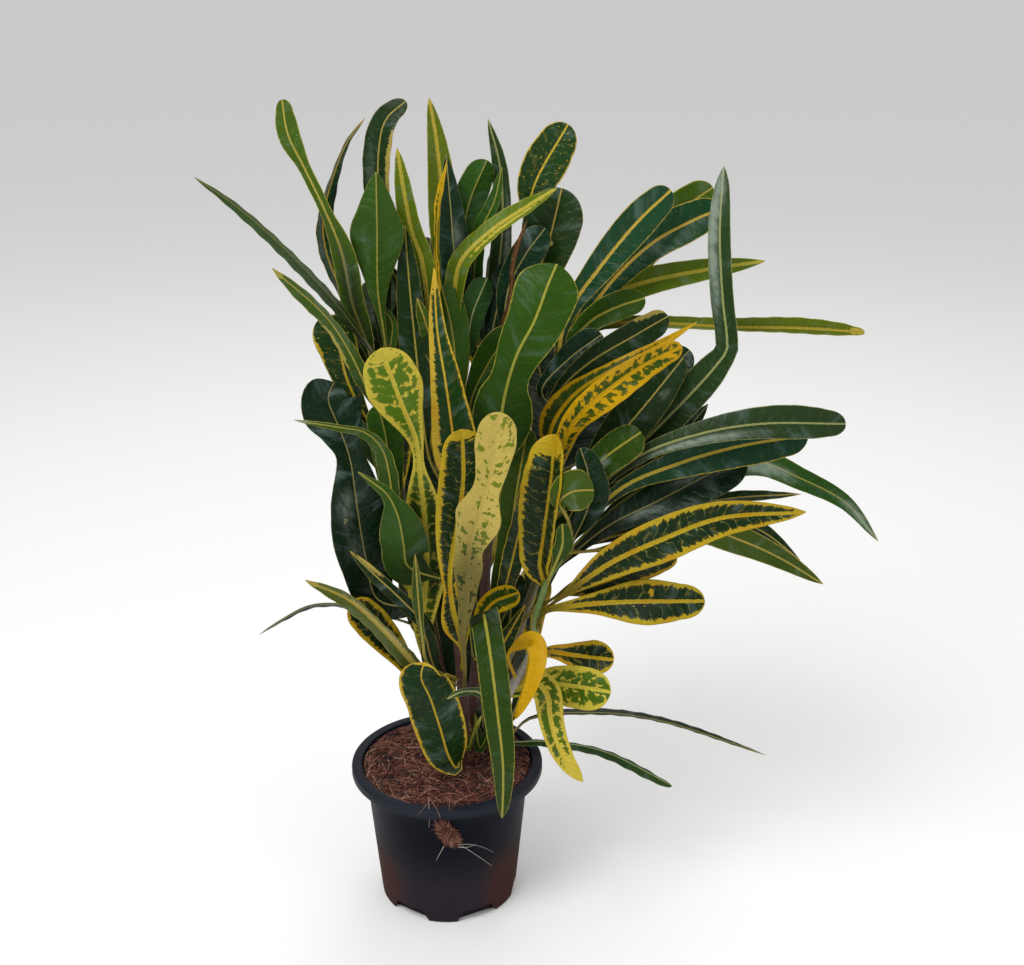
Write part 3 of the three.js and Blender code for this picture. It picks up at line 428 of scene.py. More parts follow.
def notchBlocks(low, grow, reach):
    # one block for each drain notch: a trapezium across, larger all round by grow, that runs from its
    # flat inner end out to a cylinder of radius reach, where it lies at sqrt(reach^2 - across^2)
    lower, upper = (low, pot["notchFoot"] / 2), (pot["notchHeight"] + grow, pot["notchTop"] / 2)
    share = np.linspace(-1, 1, pot["notchColumns"])
    blocks = []
    for i in range(pot["notches"]):
        angle = math.radians(pot["firstNotch"] + i * 360 / pot["notches"])
        out = np.array([math.sin(angle), -math.cos(angle), 0])
        across = np.array([math.cos(angle), math.sin(angle), 0])
        rings = []
        for (height, half), inner in ((lower, True), (upper, True), (upper, False), (lower, False)):
            side = share * (half + grow)
            far = np.sqrt(reach ** 2 - side ** 2)
            if inner:
                far = np.full(len(side), pot["notchInner"] - grow)
            rings.append(far[:, None] * out + side[:, None] * across + np.array([0, 0, height]))
        blocks.append(capped(np.array(rings).transpose(1, 0, 2)))
    return joined(blocks)


def changed(body, way, points, faces):
    # the body's mesh with closed blocks joined to it (UNION) or cut out of it (DIFFERENCE)
    shape = bpy.data.meshes.new("blocks")
    shape.from_pydata((points * mm).tolist(), [], faces)
    tool = added("blocks", shape)
    step = body.modifiers.new("blocks", "BOOLEAN")
    step.object = tool
    step.operation = way
    step.solver = "EXACT"
    body.data = bpy.data.meshes.new_from_object(body.evaluated_get(bpy.context.evaluated_depsgraph_get()))
    body.modifiers.clear()
    bpy.data.objects.remove(tool)


def makePot():
    # the profile turned about +Z, with a pocket round each notch so that the soil stays closed off
    radii, heights = potProfile().T
    points, faces = capped(lathe(radii, heights, pot["turns"]))
    body = piece("pot_shell", points, faces, potPaint(), None, ["pot"])
    pockets = notchBlocks(pot["floor"] / 2, pot["pocketWall"], pot["baseRadius"] - pot["wall"] / 2)
    changed(body, "UNION", *pockets)
    changed(body, "DIFFERENCE", *notchBlocks(-1, 0, pot["baseRadius"] + pot["notchBeyond"]))
    finished = body.data
    finished.shade_smooth()
    finished.set_sharp_from_angle(angle=math.radians(pot["sharpFrom"]))
    print("pot made:", len(finished.polygons), "faces")


# Soil (mm): its gap to the pot, how far below the lip it ends, and the crown, lumps and clods on top
soil = {"gap": 0.3, "belowLip": 5.0, "crown": 3.0, "roughness": 1.6, "rings": 70, "turns": 150,
        "clods": 1.5, "dark": "#0f0705", "brown": "#301812", "dry": "#613c2d"}
soilLevel = pot["height"] - soil["belowLip"]

# Coir: loose strands on the soil (mm), in browns that run from dark to straw as a seed from 0 to 1
coir = {"seed": 7, "strands": 3400, "length": (10, 44), "radius": (0.25, 0.72), "bend": 0.3,
        "ends": (0.3, 2.5), "middle": (1.5, 6.0), "rimGap": 1.5, "rows": 7, "sides": 3, "taper": 0.6,
        "dark": "#1e0d09", "red": "#955140", "straw": "#c49a80", "pale": "#c9c4ba"}

# The tuft on the pot's front: an ellipse (photo pixels) turned by degrees and some mm deep, with spikes
# round its edge. Each step of a spike is (share of the ellipse's size, how far it strays)
tuft = {"at": (448.0, 834.0), "size": (14.0, 7.5), "turn": 46, "deep": 7.0, "strands": 520,
        "length": (2, 4.5), "radius": (0.25, 0.45), "browns": (0.3, 0.95),
        "spikes": 120, "spikeSteps": ((0.7, 0.5), (1.0, 0.8), (1.3, 1.2)), "spikeLift": 2.5,
        "spikeEnds": (0.5, 3.0), "spikeRadius": 0.3, "spikeBrowns": (0.3, 1.0),
        "depths": (-112.0, 0.0, 0.5)}

# Single strands at the front of the pot: photo points of each one's start, bend and end, how far they
# stand off the pot (mm), their radius (mm) and how pale they are (0 to 1)
strays = [((428, 797), (430, 811), (429, 828), (1.0, 20.0, 4.0), 0.32, 0.5),
          ((431, 798), (426, 806), (418, 815), (1.0, 9.0, 2.0), 0.3, 0.5),
          ((429, 798), (437, 808), (441, 819), (1.0, 13.0, 3.0), 0.3, 0),
          ((450, 797), (449, 808), (448, 824), (1.0, 16.0, 4.0), 0.28, 0.4),
          ((437, 799), (434, 804), (431, 812), (0.5, 2.0, 1.0), 0.3, 0),
          ((462, 797), (455, 803), (450, 812), (0.5, 2.0, 1.0), 0.3, 0),
          ((444, 846), (440, 853), (436, 861), (2.0, 2.0, 1.0), 0.45, 1),
          ((462, 846), (477, 855), (492, 866), (4.0, 5.0, 3.0), 0.42, 1),
          ((458, 845), (476, 842), (493, 852), (4.0, 9.0, 4.0), 0.36, 1),
          ((458, 847), (468, 849), (476, 844), (4.0, 6.0, 4.0), 0.5, 1),
          ((459, 847), (463, 852), (464, 859), (2.0, 2.0, 1.0), 0.3, 0),
          ((436, 829), (431, 829), (428, 833), (2.0, 3.0, 1.0), 0.35, 0),
          ((424, 799), (415, 801), (408, 799), (0.5, 2.0, 1.0), 0.3, 0),
          ((480, 798), (470, 800), (459, 806), (0.5, 2.0, 1.0), 0.3, 0),
          ((420, 799), (452, 803), (486, 799), (0.5, 1.5, 1.0), 0.26, 0)]


def soilPaint():
    # damp red-brown coir dust with paler chips
    paint = Paint("soil")
    where = paint.place()
    chips = paint.noise(where, 380.0, 4.0, 0.65)
    cloud = paint.noise(where, 60.0, 3.0, 0.6)
    tint = paint.mix(chips.step(0.35, 0.7), colour(soil["dark"]), colour(soil["brown"]))
    tint = paint.mix(cloud.step(0.5, 0.75) * 0.4, tint, colour(soil["dry"]))
    return paint.done({"Base Color": tint, "Roughness": 0.9,
                       "Normal": paint.bump(chips + cloud, 0.002, 0.9)})


def coirPaint():
    # each strand has its own brown, from dark red to straw or nearly white, darker in places
    paint = Paint("coir")
    seed, _, pale = paint.parts(paint.attribute("where"))
    tint = paint.mix(seed.step(0.15, 0.75), colour(coir["dark"]), colour(coir["red"]))
    tint = paint.mix(seed.step(0.7, 1.0), tint, colour(coir["straw"]))
    tint = paint.mix(paint.noise(paint.place(), 300.0, 2.0) * 0.4, tint, colour(coir["dark"]))
    tint = paint.mix(pale * 0.75, tint, colour(coir["pale"]))
    return paint.done({"Base Color": tint, "Roughness": 0.8})


def soilHeight(x, y):
    # crown * (1 - r^2) + roughness * lumps * (1 - r^4), where r is the share of the rim's radius
    far = np.hypot(x, y) / pot["collar"]
    lumps = np.sin(x * 0.13 + 1) * np.cos(y * 0.11) + 0.6 * np.sin(x * 0.27 - y * 0.21)
    return soil["crown"] * (1 - far ** 2) + soil["roughness"] * lumps * (1 - np.minimum(far, 1) ** 4)


def makeSoil():
    # a plug: a floor between the pockets, a wall just inside the pot, and a top of rings with clods
    draw = np.random.default_rng(coir["seed"])
    turns, gap = soil["turns"], soil["gap"]
    low = pot["floor"] + gap
    above = pot["notchHeight"] + pot["pocketWall"] + gap
    narrow = pot["notchInner"] - pot["pocketWall"] - gap
    rim = pot["collar"] - gap
    collarLow, collarHigh = pot["collarLow"], pot["collarHigh"]
    heights = np.array([low, low, above, above, collarLow + gap, collarHigh + gap])
    wall = np.array([2.0, narrow, narrow, innerRadius(above) - gap, innerRadius(collarLow) - gap, rim])
    radii = rim * np.linspace(1, 0.01, soil["rings"])
    clods = draw.normal(0, 1, (len(radii), turns))
    clods = sum(np.roll(clods, k, 1) for k in (-2, -1, 0, 1, 2)) / 5
    top = lathe(radii, np.zeros(len(radii)), turns)
    top[..., 2] = (soilLevel + soilHeight(top[..., 0], top[..., 1])
                   + soil["clods"] * clods * (radii[:, None] < rim - 1))
    points, faces = capped(np.concatenate([lathe(wall, heights, turns), top]))
    piece("soil_bed", points, faces, soilPaint(), None, ["soil"])


def strands(starts, middles, ends, radii, seeds, pale):
    # thin tubes of three sides along curves with one bend: (1-s)^2 start + 2s(1-s) middle + s^2 end
    rows, sides = coir["rows"], coir["sides"]
    s = np.linspace(0, 1, rows)[None, :, None]
    way = (1 - s) ** 2 * starts[:, None] + 2 * s * (1 - s) * middles[:, None] + s ** 2 * ends[:, None]
    along = unit(np.gradient(way, axis=1))
    side = unit(np.cross(along, np.array([0.31, 0.21, 0.93])))
    thin = radii[:, None] * (1 - coir["taper"] * s[..., 0])
    rings = tube(way, side, np.cross(along, side), np.repeat(thin[..., None], sides, -1))
    each = rows * sides
    firsts = np.arange(len(radii))[:, None, None] * each
    caps = np.array([[2, 1, 0], [each - 3, each - 2, each - 1]])
    faces = ((sheet(rows, sides) + firsts).reshape(-1, 4).tolist()
             + (caps + firsts).reshape(-1, 3).tolist())
    where = spread((seeds[:, None, None], s, np.asarray(pale, float)[:, None, None]), rings.shape[:3])
    return rings.reshape(-1, 3), faces, where.reshape(-1, 3)


def onPot(places, lift):
    # where the sight line through a photo point comes within lift (mm) of the pot's outside
    depths = np.arange(*tuft["depths"])
    grid = (len(places), len(depths))
    spots = seen(spread((places[:, :1], places[:, 1:], depths), grid))
    height, lift = spots[..., 2], lift[:, None]
    onLip = height > pot["height"] - pot["lipDrop"]
    outer = np.where(onLip, pot["lipRadius"], innerRadius(height) + pot["wall"])
    inside = (np.hypot(spots[..., 0], spots[..., 1]) < outer + lift) & (height < pot["height"] + lift)
    return spots[np.arange(len(places)), inside.argmax(1)]


def onSoil(flat, lift, rim):
    # points on the soil, drawn in from its rim
    far = np.linalg.norm(flat, axis=1, keepdims=True)
    flat = flat * np.minimum(1, (rim - 0.5) / np.maximum(far, 1))
    return np.column_stack([flat, soilLevel + soilHeight(flat[:, 0], flat[:, 1]) + lift])


def looseStrands(draw):
    # strands that lie at random on the soil
    count = coir["strands"]
    rim = pot["collar"] - coir["rimGap"]
    radius = rim * np.sqrt(draw.random(count))
    angle, turn = draw.uniform(0, 2 * math.pi, (2, count))
    length = draw.uniform(*coir["length"], count)
    middle = radius[:, None] * circle(angle)
    half = (length / 2)[:, None] * circle(turn)
    bend = draw.normal(0, coir["bend"], (count, 1)) * half[:, ::-1] * (1, -1)
    lifts = draw.random((3, count)) ** 2
    (low, rise), (midLow, midRise) = coir["ends"], coir["middle"]
    return strands(onSoil(middle - half, low + rise * lifts[0], rim),
                   onSoil(middle + bend, midLow + midRise * lifts[1], rim),
                   onSoil(middle + half, low + rise * lifts[2], rim),
                   draw.uniform(*coir["radius"], count), draw.random(count), np.zeros(count))


def tuftStrands(draw):
    # short curved strands all over the tuft's ellipse, deepest in its middle, and spikes round its edge
    many, spikes = tuft["strands"], tuft["spikes"]
    turn = math.radians(tuft["turn"])
    axes = np.array([(math.cos(turn), math.sin(turn)), (-math.sin(turn), math.cos(turn))])
    size, hub = np.array(tuft["size"]), np.array(tuft["at"])
    at = np.sqrt(draw.random(many))[:, None] * circle(draw.uniform(0, 2 * math.pi, many))
    way = circle(draw.uniform(0, 2 * math.pi, many)) * draw.uniform(*tuft["length"], (many, 1))
    centre = hub + (at * size) @ axes
    deep = tuft["deep"] * (1 - (at ** 2).sum(1)) * draw.random(many) + 0.5
    bend = way[:, ::-1] * (0.5, -0.5)
    inner = strands(onPot(centre - way, deep * 0.6), onPot(centre + bend, deep + 1.0),
                    onPot(centre + way, deep * 0.6), draw.uniform(*tuft["radius"], many),
                    draw.uniform(*tuft["browns"], many), np.zeros(many))
    edge = circle(draw.uniform(0, 2 * math.pi, spikes))
    out = [hub + (edge * size * share) @ axes + draw.normal(0, stray, (spikes, 2))
           for share, stray in tuft["spikeSteps"]]
    near = np.full(spikes, tuft["spikeLift"])
    tips = onPot(out[2], draw.uniform(*tuft["spikeEnds"], spikes))
    outer = strands(onPot(out[0], near), onPot(out[1], near), tips, np.full(spikes, tuft["spikeRadius"]),
                    draw.uniform(*tuft["spikeBrowns"], spikes), np.zeros(spikes))
    return inner, outer


def singleStrands(draw):
    # those that hang over the front of the lip or stand out of the tuft
    *lines, lifts, radii, pale = zip(*strays)
    bends = [onPot(np.array(line, float), lift) for line, lift in zip(lines, np.array(lifts).T)]
    return strands(*bends, np.array(radii), draw.random(len(strays)), np.array(pale))


def makeCoir():
    # all strands are one piece
    draw = np.random.default_rng(coir["seed"] + 1)
    made = [looseStrands(draw), *tuftStrands(draw), singleStrands(draw)]
    points, faces = joined([each[:2] for each in made])
    piece("coir", points, faces, coirPaint(), {"where": np.vstack([each[2] for each in made])})
    print("soil and coir made")


# The plant's stems: where each stands in the soil, and photo points of its run with their depths
stems = {
    "left": {"node": "stem_left", "foot": (4, 8), "bark": "brown",
             "path": [(446, 705, -10), (430, 620, -18), (410, 540, -16), (396, 460, -12),
                      (386, 392, -8)]},
    "middle": {"node": "stem_middle", "foot": (16, -14), "bark": "brown",
               "path": [(463, 700, -32), (458, 640, -30), (452, 560, -26), (442, 480, -20),
                        (434, 410, -14), (428, 350, -10)]},
    "centre": {"node": "stem_centre", "foot": (32, 21), "bark": "brown",
               "path": [(474, 690, -2), (484, 600, 2), (490, 500, 6), (489, 420, 6), (486, 356, 6)]},
    "right": {"node": "stem_right", "foot": (44, 40), "bark": "green",
              "path": [(494, 700, 16), (522, 620, 16), (546, 550, 14), (558, 480, 16), (562, 415, 20)]},
    "farRight": {"node": "stem_far_right", "foot": (58, -3), "bark": "grey",
                 "path": [(500, 712, -28), (530, 655, -42), (538, 610, -50), (550, 575, -54),
                          (567, 553, -56)]},
    "front": {"node": "stem_front", "foot": (52, -30), "bark": "green",
              "path": [(495, 722, -46), (490, 682, -54), (484, 645, -60)]},
}

# Leaf outlines: half-widths from root (0) on, as shares of the widest one. All end in the same tip (1)
shapes = {
    "pointed": [(0, 0.1), (0.12, 0.14), (0.32, 0.78), (0.52, 1), (0.78, 0.72), (0.93, 0.36)],
    "strap": [(0, 0.1), (0.1, 0.14), (0.3, 0.68), (0.55, 0.96), (0.78, 1), (0.91, 0.84), (0.97, 0.55)],
    "spoon": [(0, 0.08), (0.14, 0.12), (0.4, 0.46), (0.62, 0.82), (0.8, 1), (0.9, 0.93), (0.96, 0.72),
              (0.985, 0.48)],
    "oval": [(0, 0.08), (0.14, 0.12), (0.32, 0.66), (0.52, 0.97), (0.66, 1), (0.83, 0.86), (0.93, 0.58),
             (0.98, 0.3)],
    "lance": [(0, 0.1), (0.12, 0.2), (0.3, 1), (0.52, 0.74), (0.72, 0.44), (0.88, 0.24)],
    "diamond": [(0, 0.08), (0.3, 0.12), (0.48, 0.42), (0.7, 1), (0.84, 0.68), (0.95, 0.3)],
    "paddle": [(0, 0.08), (0.4, 0.09), (0.5, 0.1), (0.59, 0.2), (0.7, 0.75), (0.82, 1), (0.93, 0.82),
               (0.98, 0.5)],
    "broad": [(0, 0.08), (0.2, 0.1), (0.27, 0.24), (0.35, 0.62), (0.45, 0.88), (0.65, 1), (0.85, 0.95),
              (0.95, 0.66)],
    "hanging": [(0, 0.1), (0.03, 0.5), (0.08, 0.95), (0.4, 1), (0.6, 0.95), (0.75, 0.85), (0.9, 0.6),
                (0.97, 0.35)],
    "tongue": [(0, 0.08), (0.1, 0.2), (0.28, 0.95), (0.45, 1), (0.65, 0.86), (0.82, 0.66), (0.94, 0.38)],
    "kinked": [(0, 0.1), (0.08, 0.3), (0.2, 0.9), (0.38, 1), (0.49, 0.92), (0.55, 0.68), (0.7, 0.66),
               (0.85, 0.6), (0.95, 0.4)],
    "twisted": [(0, 0.1), (0.1, 0.3), (0.22, 0.82), (0.33, 0.96), (0.45, 1), (0.54, 0.75), (0.6, 0.52),
                (0.7, 0.5), (0.77, 0.5), (0.82, 0.7), (0.88, 0.86), (0.94, 0.78), (0.98, 0.45)],
    "slender": [(0, 0.1), (0.12, 0.3), (0.3, 0.9), (0.45, 1), (0.6, 0.75), (0.7, 0.45), (0.85, 0.28),
                (0.95, 0.15)],
    "flask": [(0, 0.1), (0.14, 0.14), (0.22, 0.6), (0.34, 0.95), (0.5, 1), (0.64, 0.7), (0.74, 0.34),
              (0.86, 0.2)],
    "drooping": [(0, 0.1), (0.2, 0.14), (0.34, 0.7), (0.45, 1), (0.7, 0.9), (0.85, 0.66), (0.95, 0.36)],
    "petal": [(0, 0.08), (0.15, 0.1), (0.4, 0.46), (0.6, 0.9), (0.72, 1), (0.86, 0.82), (0.95, 0.5)],
    "double": [(0, 0.08), (0.12, 0.14), (0.28, 0.62), (0.42, 0.92), (0.56, 0.6), (0.66, 0.2),
               (0.76, 0.46), (0.88, 1), (0.95, 0.84), (0.985, 0.5)],
    "triple": [(0, 0.08), (0.16, 0.1), (0.24, 0.16), (0.32, 0.3), (0.4, 0.44), (0.48, 0.64), (0.54, 0.6),
               (0.6, 0.8), (0.67, 1), (0.75, 0.58), (0.83, 0.68), (0.91, 0.84), (0.97, 0.6)],
    "pinchLow": [(0, 0.08), (0.12, 0.14), (0.24, 0.64), (0.36, 0.3), (0.42, 0.36), (0.6, 0.84), (0.78, 1),
                 (0.91, 0.86), (0.97, 0.6)],
    "pinchHigh": [(0, 0.1), (0.06, 0.35), (0.14, 0.56), (0.24, 0.76), (0.42, 1), (0.56, 0.86),
                  (0.66, 0.6), (0.73, 0.44), (0.8, 0.66), (0.88, 0.98), (0.95, 0.84), (0.985, 0.5)],
    "pinchWide": [(0, 0.08), (0.12, 0.16), (0.3, 0.94), (0.42, 0.9), (0.52, 0.62), (0.7, 0.86), (0.89, 1),
                  (0.96, 0.84), (0.99, 0.55)],
}

# Leaf colours: the blade's green and its yellow, half-widths (mm) of the yellow margin and of the midrib
# (rib), how far yellow marks the side veins, small flecks and the spots between (0 to 1), and roughness
lookColumns = ("green", "yellow", "margin", "rib", "veins", "flecks", "spots", "roughness")
looks = {name: dict(zip(lookColumns, values)) for name, values in {
    "dark": ("#152a0d", "#a8954e", 0.5, 1.1, 0.06, 0.1, 0.0, 0.36),
    "deep": ("#0e2613", "#989058", 0.3, 0.8, 0.06, 0.12, 0.0, 0.3),
    "bold": ("#163a21", "#c4a94a", 0.9, 2.1, 0.06, 0.1, 0.0, 0.34),
    "green": ("#274510", "#949043", 0.6, 1.0, 0.06, 0.0, 0.0, 0.45),
    "bright": ("#284206", "#a39c43", 0.9, 1.6, 0.06, 0.0, 0.0, 0.42),
    "olive": ("#354a10", "#a39546", 1.0, 1.3, 0.06, 0.08, 0.0, 0.4),
    "grey": ("#304f23", "#b1b478", 0.4, 1.0, 0.06, 0.0, 0.0, 0.42),
    "split": ("#1f3316", "#91965f", 0.7, 1.4, 0.06, 0.0, 0.0, 0.38),
    "stripe": ("#4c5c14", "#b0a042", 0.8, 2.7, 0.06, 0.05, 0.0, 0.4),
    "edged": ("#12300f", "#c0a63e", 2.4, 1.3, 0.1, 0.1, 0.0, 0.36),
    "fleck": ("#183111", "#c0a63e", 1.2, 1.4, 0.2, 0.6, 0.0, 0.38),
    "mixed": ("#0f2609", "#b89e30", 5.4, 2.9, 0.42, 0.3, 0.0, 0.4),
    "gold": ("#2c4509", "#c8a02a", 6.0, 2.2, 0.3, 0.2, 0.0, 0.42),
    "yellow": ("#2d4808", "#d6ae24", 6.0, 3.2, 0.4, 0.3, 0.28, 0.42),
    "light": ("#486212", "#c2ae48", 5.6, 3.2, 0.4, 0.1, 0.2, 0.44),
    "pale": ("#66701d", "#c2ab5c", 2.4, 3.0, 0.25, 0.0, 0.57, 0.5),
    "orange": ("#5d510d", "#c39d20", 14.0, 3.0, 0.2, 0.0, 0.8, 0.46),
    "dry": ("#422d1b", "#715430", 0.5, 0.6, 0.2, 0.2, 0.1, 0.75),
}.items()}

# A leaf's blade (mm): its fold at the midrib (degrees) and its arch, waves and ripples along the edges
# and how fast they fade inwards, its petiole, its thickness at the edge and in the middle, the midrib's
# ridge below and groove above, and which outlines end round. rows and columns are the surface's points
# along a leaf, which crowd towards the tip, and across each half
blade = {"fold": 12.0, "arch": 0.35, "wave": 2.2, "waves": 1.7, "waveFade": 1.4,
         "ripple": 0.55, "rippleLength": 21.0, "rippleFade": 3, "rippleSeed": 40,
         "petiole": 3.2, "petioleDepth": 1.7, "petioleEnds": 0.4, "petioleBlend": 0.9, "rootDrop": 22.0,
         "edge": 0.45, "middle": 1.1, "rib": 0.8, "groove": 0.25, "ribWidth": 1.5,
         "tipLength": 1.1, "tipWidth": 0.03, "tip": 0.06,
         "rounded": ("spoon", "strap", "oval", "petal", "paddle", "broad", "double", "triple",
                     "pinchLow", "pinchHigh", "pinchWide", "twisted"),
         "rows": 54, "crowding": 1.45, "columns": (0.05, 0.13, 0.28, 0.48, 0.68, 0.86, 0.96, 1.0)}

# Stems (mm): their depth in the soil, their radii at foot and top, and the rings of their leaf scars
stemForm = {"depth": 90.0, "above": 4.0, "foot": 6.1, "top": 2.4, "rows": 120, "sides": 16,
            "scars": 0.28, "scarLength": 9.0, "bulge": 0.05}

# Room between leaves, and the rounds in which they make way for each other
makingWay = {"stations": 24, "rounds": 160, "step": 0.6, "smooth": 0.3, "stiffShare": 0.22,
             "leafRoom": 3.4, "pixelRoom": 2.0, "rolledShare": 0.85}

leaves = []


def leaf(stem, shape, width, look, path, roll=0, fold=blade["fold"], wave=blade["wave"], under=False,
         gild=(), bleach=(), dusk=()):
    # path holds photo points with depths, from the blade's start to its tip, and roll its turn about
    # them (degrees); under shows the leaf's underside. Each patch of yellow (gild), of pale grey that is
    # mostly a painted highlight and partly the leaf's own grey-green (bleach), or of dark green that is
    # partly painted shade and partly the leaf's own colour (dusk) is (share of length, share of
    # half-width, half-length in mm, half-width, strength)
    leaves.append({"stem": stem, "shape": shape, "width": width, "look": look, "path": path,
                   "roll": roll, "fold": fold, "wave": wave, "under": under,
                   "patches": {"gild": gild, "bleach": bleach, "dusk": dusk}})


# On the photo's left, mostly on the left stem, from the top down
leaf("left", "pointed", 26, "green", [(385, 375, -15), (350, 320, -30), (280, 244, -48), (230, 201, -56),
     (194, 177, -60)], roll=64, wave=0.6)
leaf("left", "twisted", 23, "olive", [(375, 370, -10), (364, 335, -14), (353, 305, -18), (341, 250, -22),
     (323, 206, -24), (303, 165, -22), (288, 134, -18), (282, 99, -12)], roll=15, under=True,
     dusk=[(0.3, 0, 70, 1, 0.8)], bleach=[(0.4, 0.1, 40, 0.3, 0.4)])
leaf("left", "pointed", 24, "bold", [(368, 350, 4), (325, 250, 14), (323, 215, 18), (345, 145, 24),
     (365, 118, 28)], roll=-58, bleach=[(0.7, -0.6, 70, 0.5, 0.6)], dusk=[(0.75, 0.9, 60, 0.4, 0.8)])
leaf("left", "pointed", 24, "olive", [(378, 410, -28), (350, 352, -42), (325, 315, -52), (272, 268, -66)],
     roll=48, gild=[(0.5, -0.9, 32, 0.35, 1), (0.97, 0, 10, 1.2, 1)])
leaf("left", "spoon", 38, "fleck", [(372, 425, -10), (348, 382, -16), (337, 343, -20), (322, 317, -18)],
     roll=8, gild=[(0.8, -1, 25, 0.2, 0.9)])
leaf("left", "diamond", 50, "green", [(386, 350, -10), (378, 292, -14), (377, 228, -16), (376, 172, -6)],
     under=True, bleach=[(0.66, -0.45, 30, 0.3, 0.35)])
leaf("left", "strap", 28, "dark", [(384, 330, 8), (380, 230, 20), (379, 150, 30), (386, 120, 34),
     (406, 101, 38)], roll=28, bleach=[(0.75, -0.5, 50, 0.5, 0.35)], gild=[(0.75, 0.95, 45, 0.35, 1)])
leaf("left", "pinchHigh", 60, "deep", [(378, 600, -10), (366, 560, -18), (357, 508, -30), (350, 460, -36),
     (340, 430, -36), (328, 398, -30), (334, 382, -24)], roll=-12, bleach=[(0.55, -0.4, 24, 0.5, 0.55),
     (0.38, -0.3, 20, 0.5, 0.45)], gild=[(0.5, -0.55, 3, 0.1, 1.2)])
leaf("left", "slender", 28, "olive", [(398, 520, -30), (383, 450, -50), (365, 432, -58), (340, 427, -64),
     (294, 420, -72)], roll=52, bleach=[(0.98, 0, 16, 1, 0.9)])
leaf("left", "spoon", 32, "green", [(400, 560, -20), (392, 500, -28), (386, 438, -36), (378, 405, -40)],
     under=True)
leaf("middle", "flask", 46, "green", [(408, 566, -52), (404, 546, -64), (398, 516, -74), (387, 494, -78),
     (372, 482, -78), (358, 472, -76)], roll=8, under=True)
leaf("left", "pointed", 17, "dark", [(430, 630, -50), (405, 603, -60), (372, 572, -72), (350, 551, -80)],
     roll=22, gild=[(0.85, 0.8, 22, 0.7, 1)])
leaf("left", "spoon", 36, "mixed", [(425, 690, -25), (395, 650, -34), (370, 622, -42), (350, 603, -50)],
     roll=-10)
leaf("left", "pointed", 30, "stripe", [(435, 690, -30), (410, 660, -52), (370, 617, -74), (345, 597, -86),
     (305, 580, -100)], roll=54, gild=[(0.97, 0, 10, 1, 1), (0.55, 0.3, 80, 0.45, 0.9)])
leaf("left", "pointed", 16, "dark", [(400, 620, -10), (345, 605, -6), (310, 606, -2), (280, 621, 4),
     (259, 635, 8)], roll=76, wave=0.6)
leaf("left", "pointed", 14, "green", [(390, 350, -2), (392, 322, -2), (378, 303, 0)], roll=20)
leaf("left", "pointed", 22, "dark", [(388, 350, 12), (405, 300, 18), (387, 262, 24)], roll=-15)
leaf("left", "spoon", 28, "dark", [(376, 370, 14), (355, 330, 24), (345, 298, 30)], roll=10)
leaf("left", "pointed", 26, "deep", [(388, 385, 6), (365, 345, 10), (350, 316, 12)], roll=-20)

# On the middle stem, from the top down
leaf("middle", "pointed", 24, "stripe", [(430, 335, 2), (422, 260, 12), (412, 230, 16), (397, 148, 26)],
     roll=18)
leaf("middle", "pointed", 30, "stripe", [(440, 330, 4), (450, 290, 8), (446, 240, 18), (436, 140, 30),
     (429, 98, 34)], roll=-12)
leaf("middle", "pointed", 30, "deep", [(440, 345, 0), (455, 290, -2), (452, 230, 0), (446, 155, 4)],
     roll=-18, bleach=[(0.6, 0.3, 30, 0.6, 0.5)])
leaf("middle", "pointed", 16, "gold", [(436, 330, -26), (437, 250, -34), (440, 200, -32),
     (447, 160, -28)], roll=68)
leaf("middle", "lance", 44, "edged", [(460, 500, -40), (452, 430, -56), (445, 380, -60), (437, 330, -52),
     (434, 268, -40)], roll=-14, gild=[(0.2, -1, 30, 0.5, 1), (0.45, -1, 40, 0.45, 1),
     (0.75, -1, 40, 0.6, 1), (0.97, 0, 18, 1, 1)])
leaf("middle", "double", 50, "light", [(428, 662, -40), (427, 560, -54), (425, 520, -64), (420, 475, -74),
     (416, 440, -82), (402, 405, -100), (381, 348, -124)], roll=6, dusk=[(0.42, 0.5, 75, 0.36, 1.3),
     (0.42, -0.5, 75, 0.36, 1.3)], gild=[(0.98, 0, 9, 1, 1)])
leaf("middle", "pinchLow", 46, "mixed", [(463, 650, -50), (452, 605, -72), (450, 573, -84),
     (458, 520, -100), (463, 480, -112), (462, 429, -124)], roll=-6, gild=[(0.98, 0, 8, 1, 1)])
leaf("middle", "spoon", 34, "green", [(452, 440, -20), (456, 380, -22), (452, 330, -20), (441, 285, -14)],
     under=True)
leaf("middle", "spoon", 28, "grey", [(448, 380, -4), (465, 350, -6), (472, 315, -4), (487, 278, 2)],
     roll=-16, under=True)
leaf("middle", "pointed", 18, "olive", [(435, 360, -14), (425, 320, -12), (417, 298, -10)], roll=20)
leaf("middle", "pointed", 32, "dark", [(430, 460, -20), (421, 400, -22), (416, 350, -14), (410, 290, -2),
     (405, 225, 4)], roll=16)
leaf("middle", "diamond", 12, "olive", [(428, 664, -62), (422, 635, -70), (415, 554, -80)], roll=20)
leaf("middle", "pointed", 20, "dark", [(436, 670, -50), (426, 640, -58), (416, 606, -64)], roll=-30)
leaf("middle", "pointed", 24, "stripe", [(452, 330, -6), (455, 290, -12), (461, 262, -14), (490, 232, -8),
     (525, 208, 2), (557, 188, 16)], roll=32, gild=[(0.7, 0.5, 60, 0.3, 0.8)])
leaf("middle", "broad", 52, "edged", [(457, 768, -34), (449, 757, -44), (440, 728, -58), (430, 698, -68),
     (421, 677, -76), (424, 662, -78)], roll=-6, gild=[(0.6, -1, 30, 0.16, 0.9),
     (0.99, 0, 2.5, 1.6, 0.9)])
leaf("middle", "pointed", 9, "dry", [(452, 742, -44), (451, 760, -52), (459, 774, -52)], roll=40)

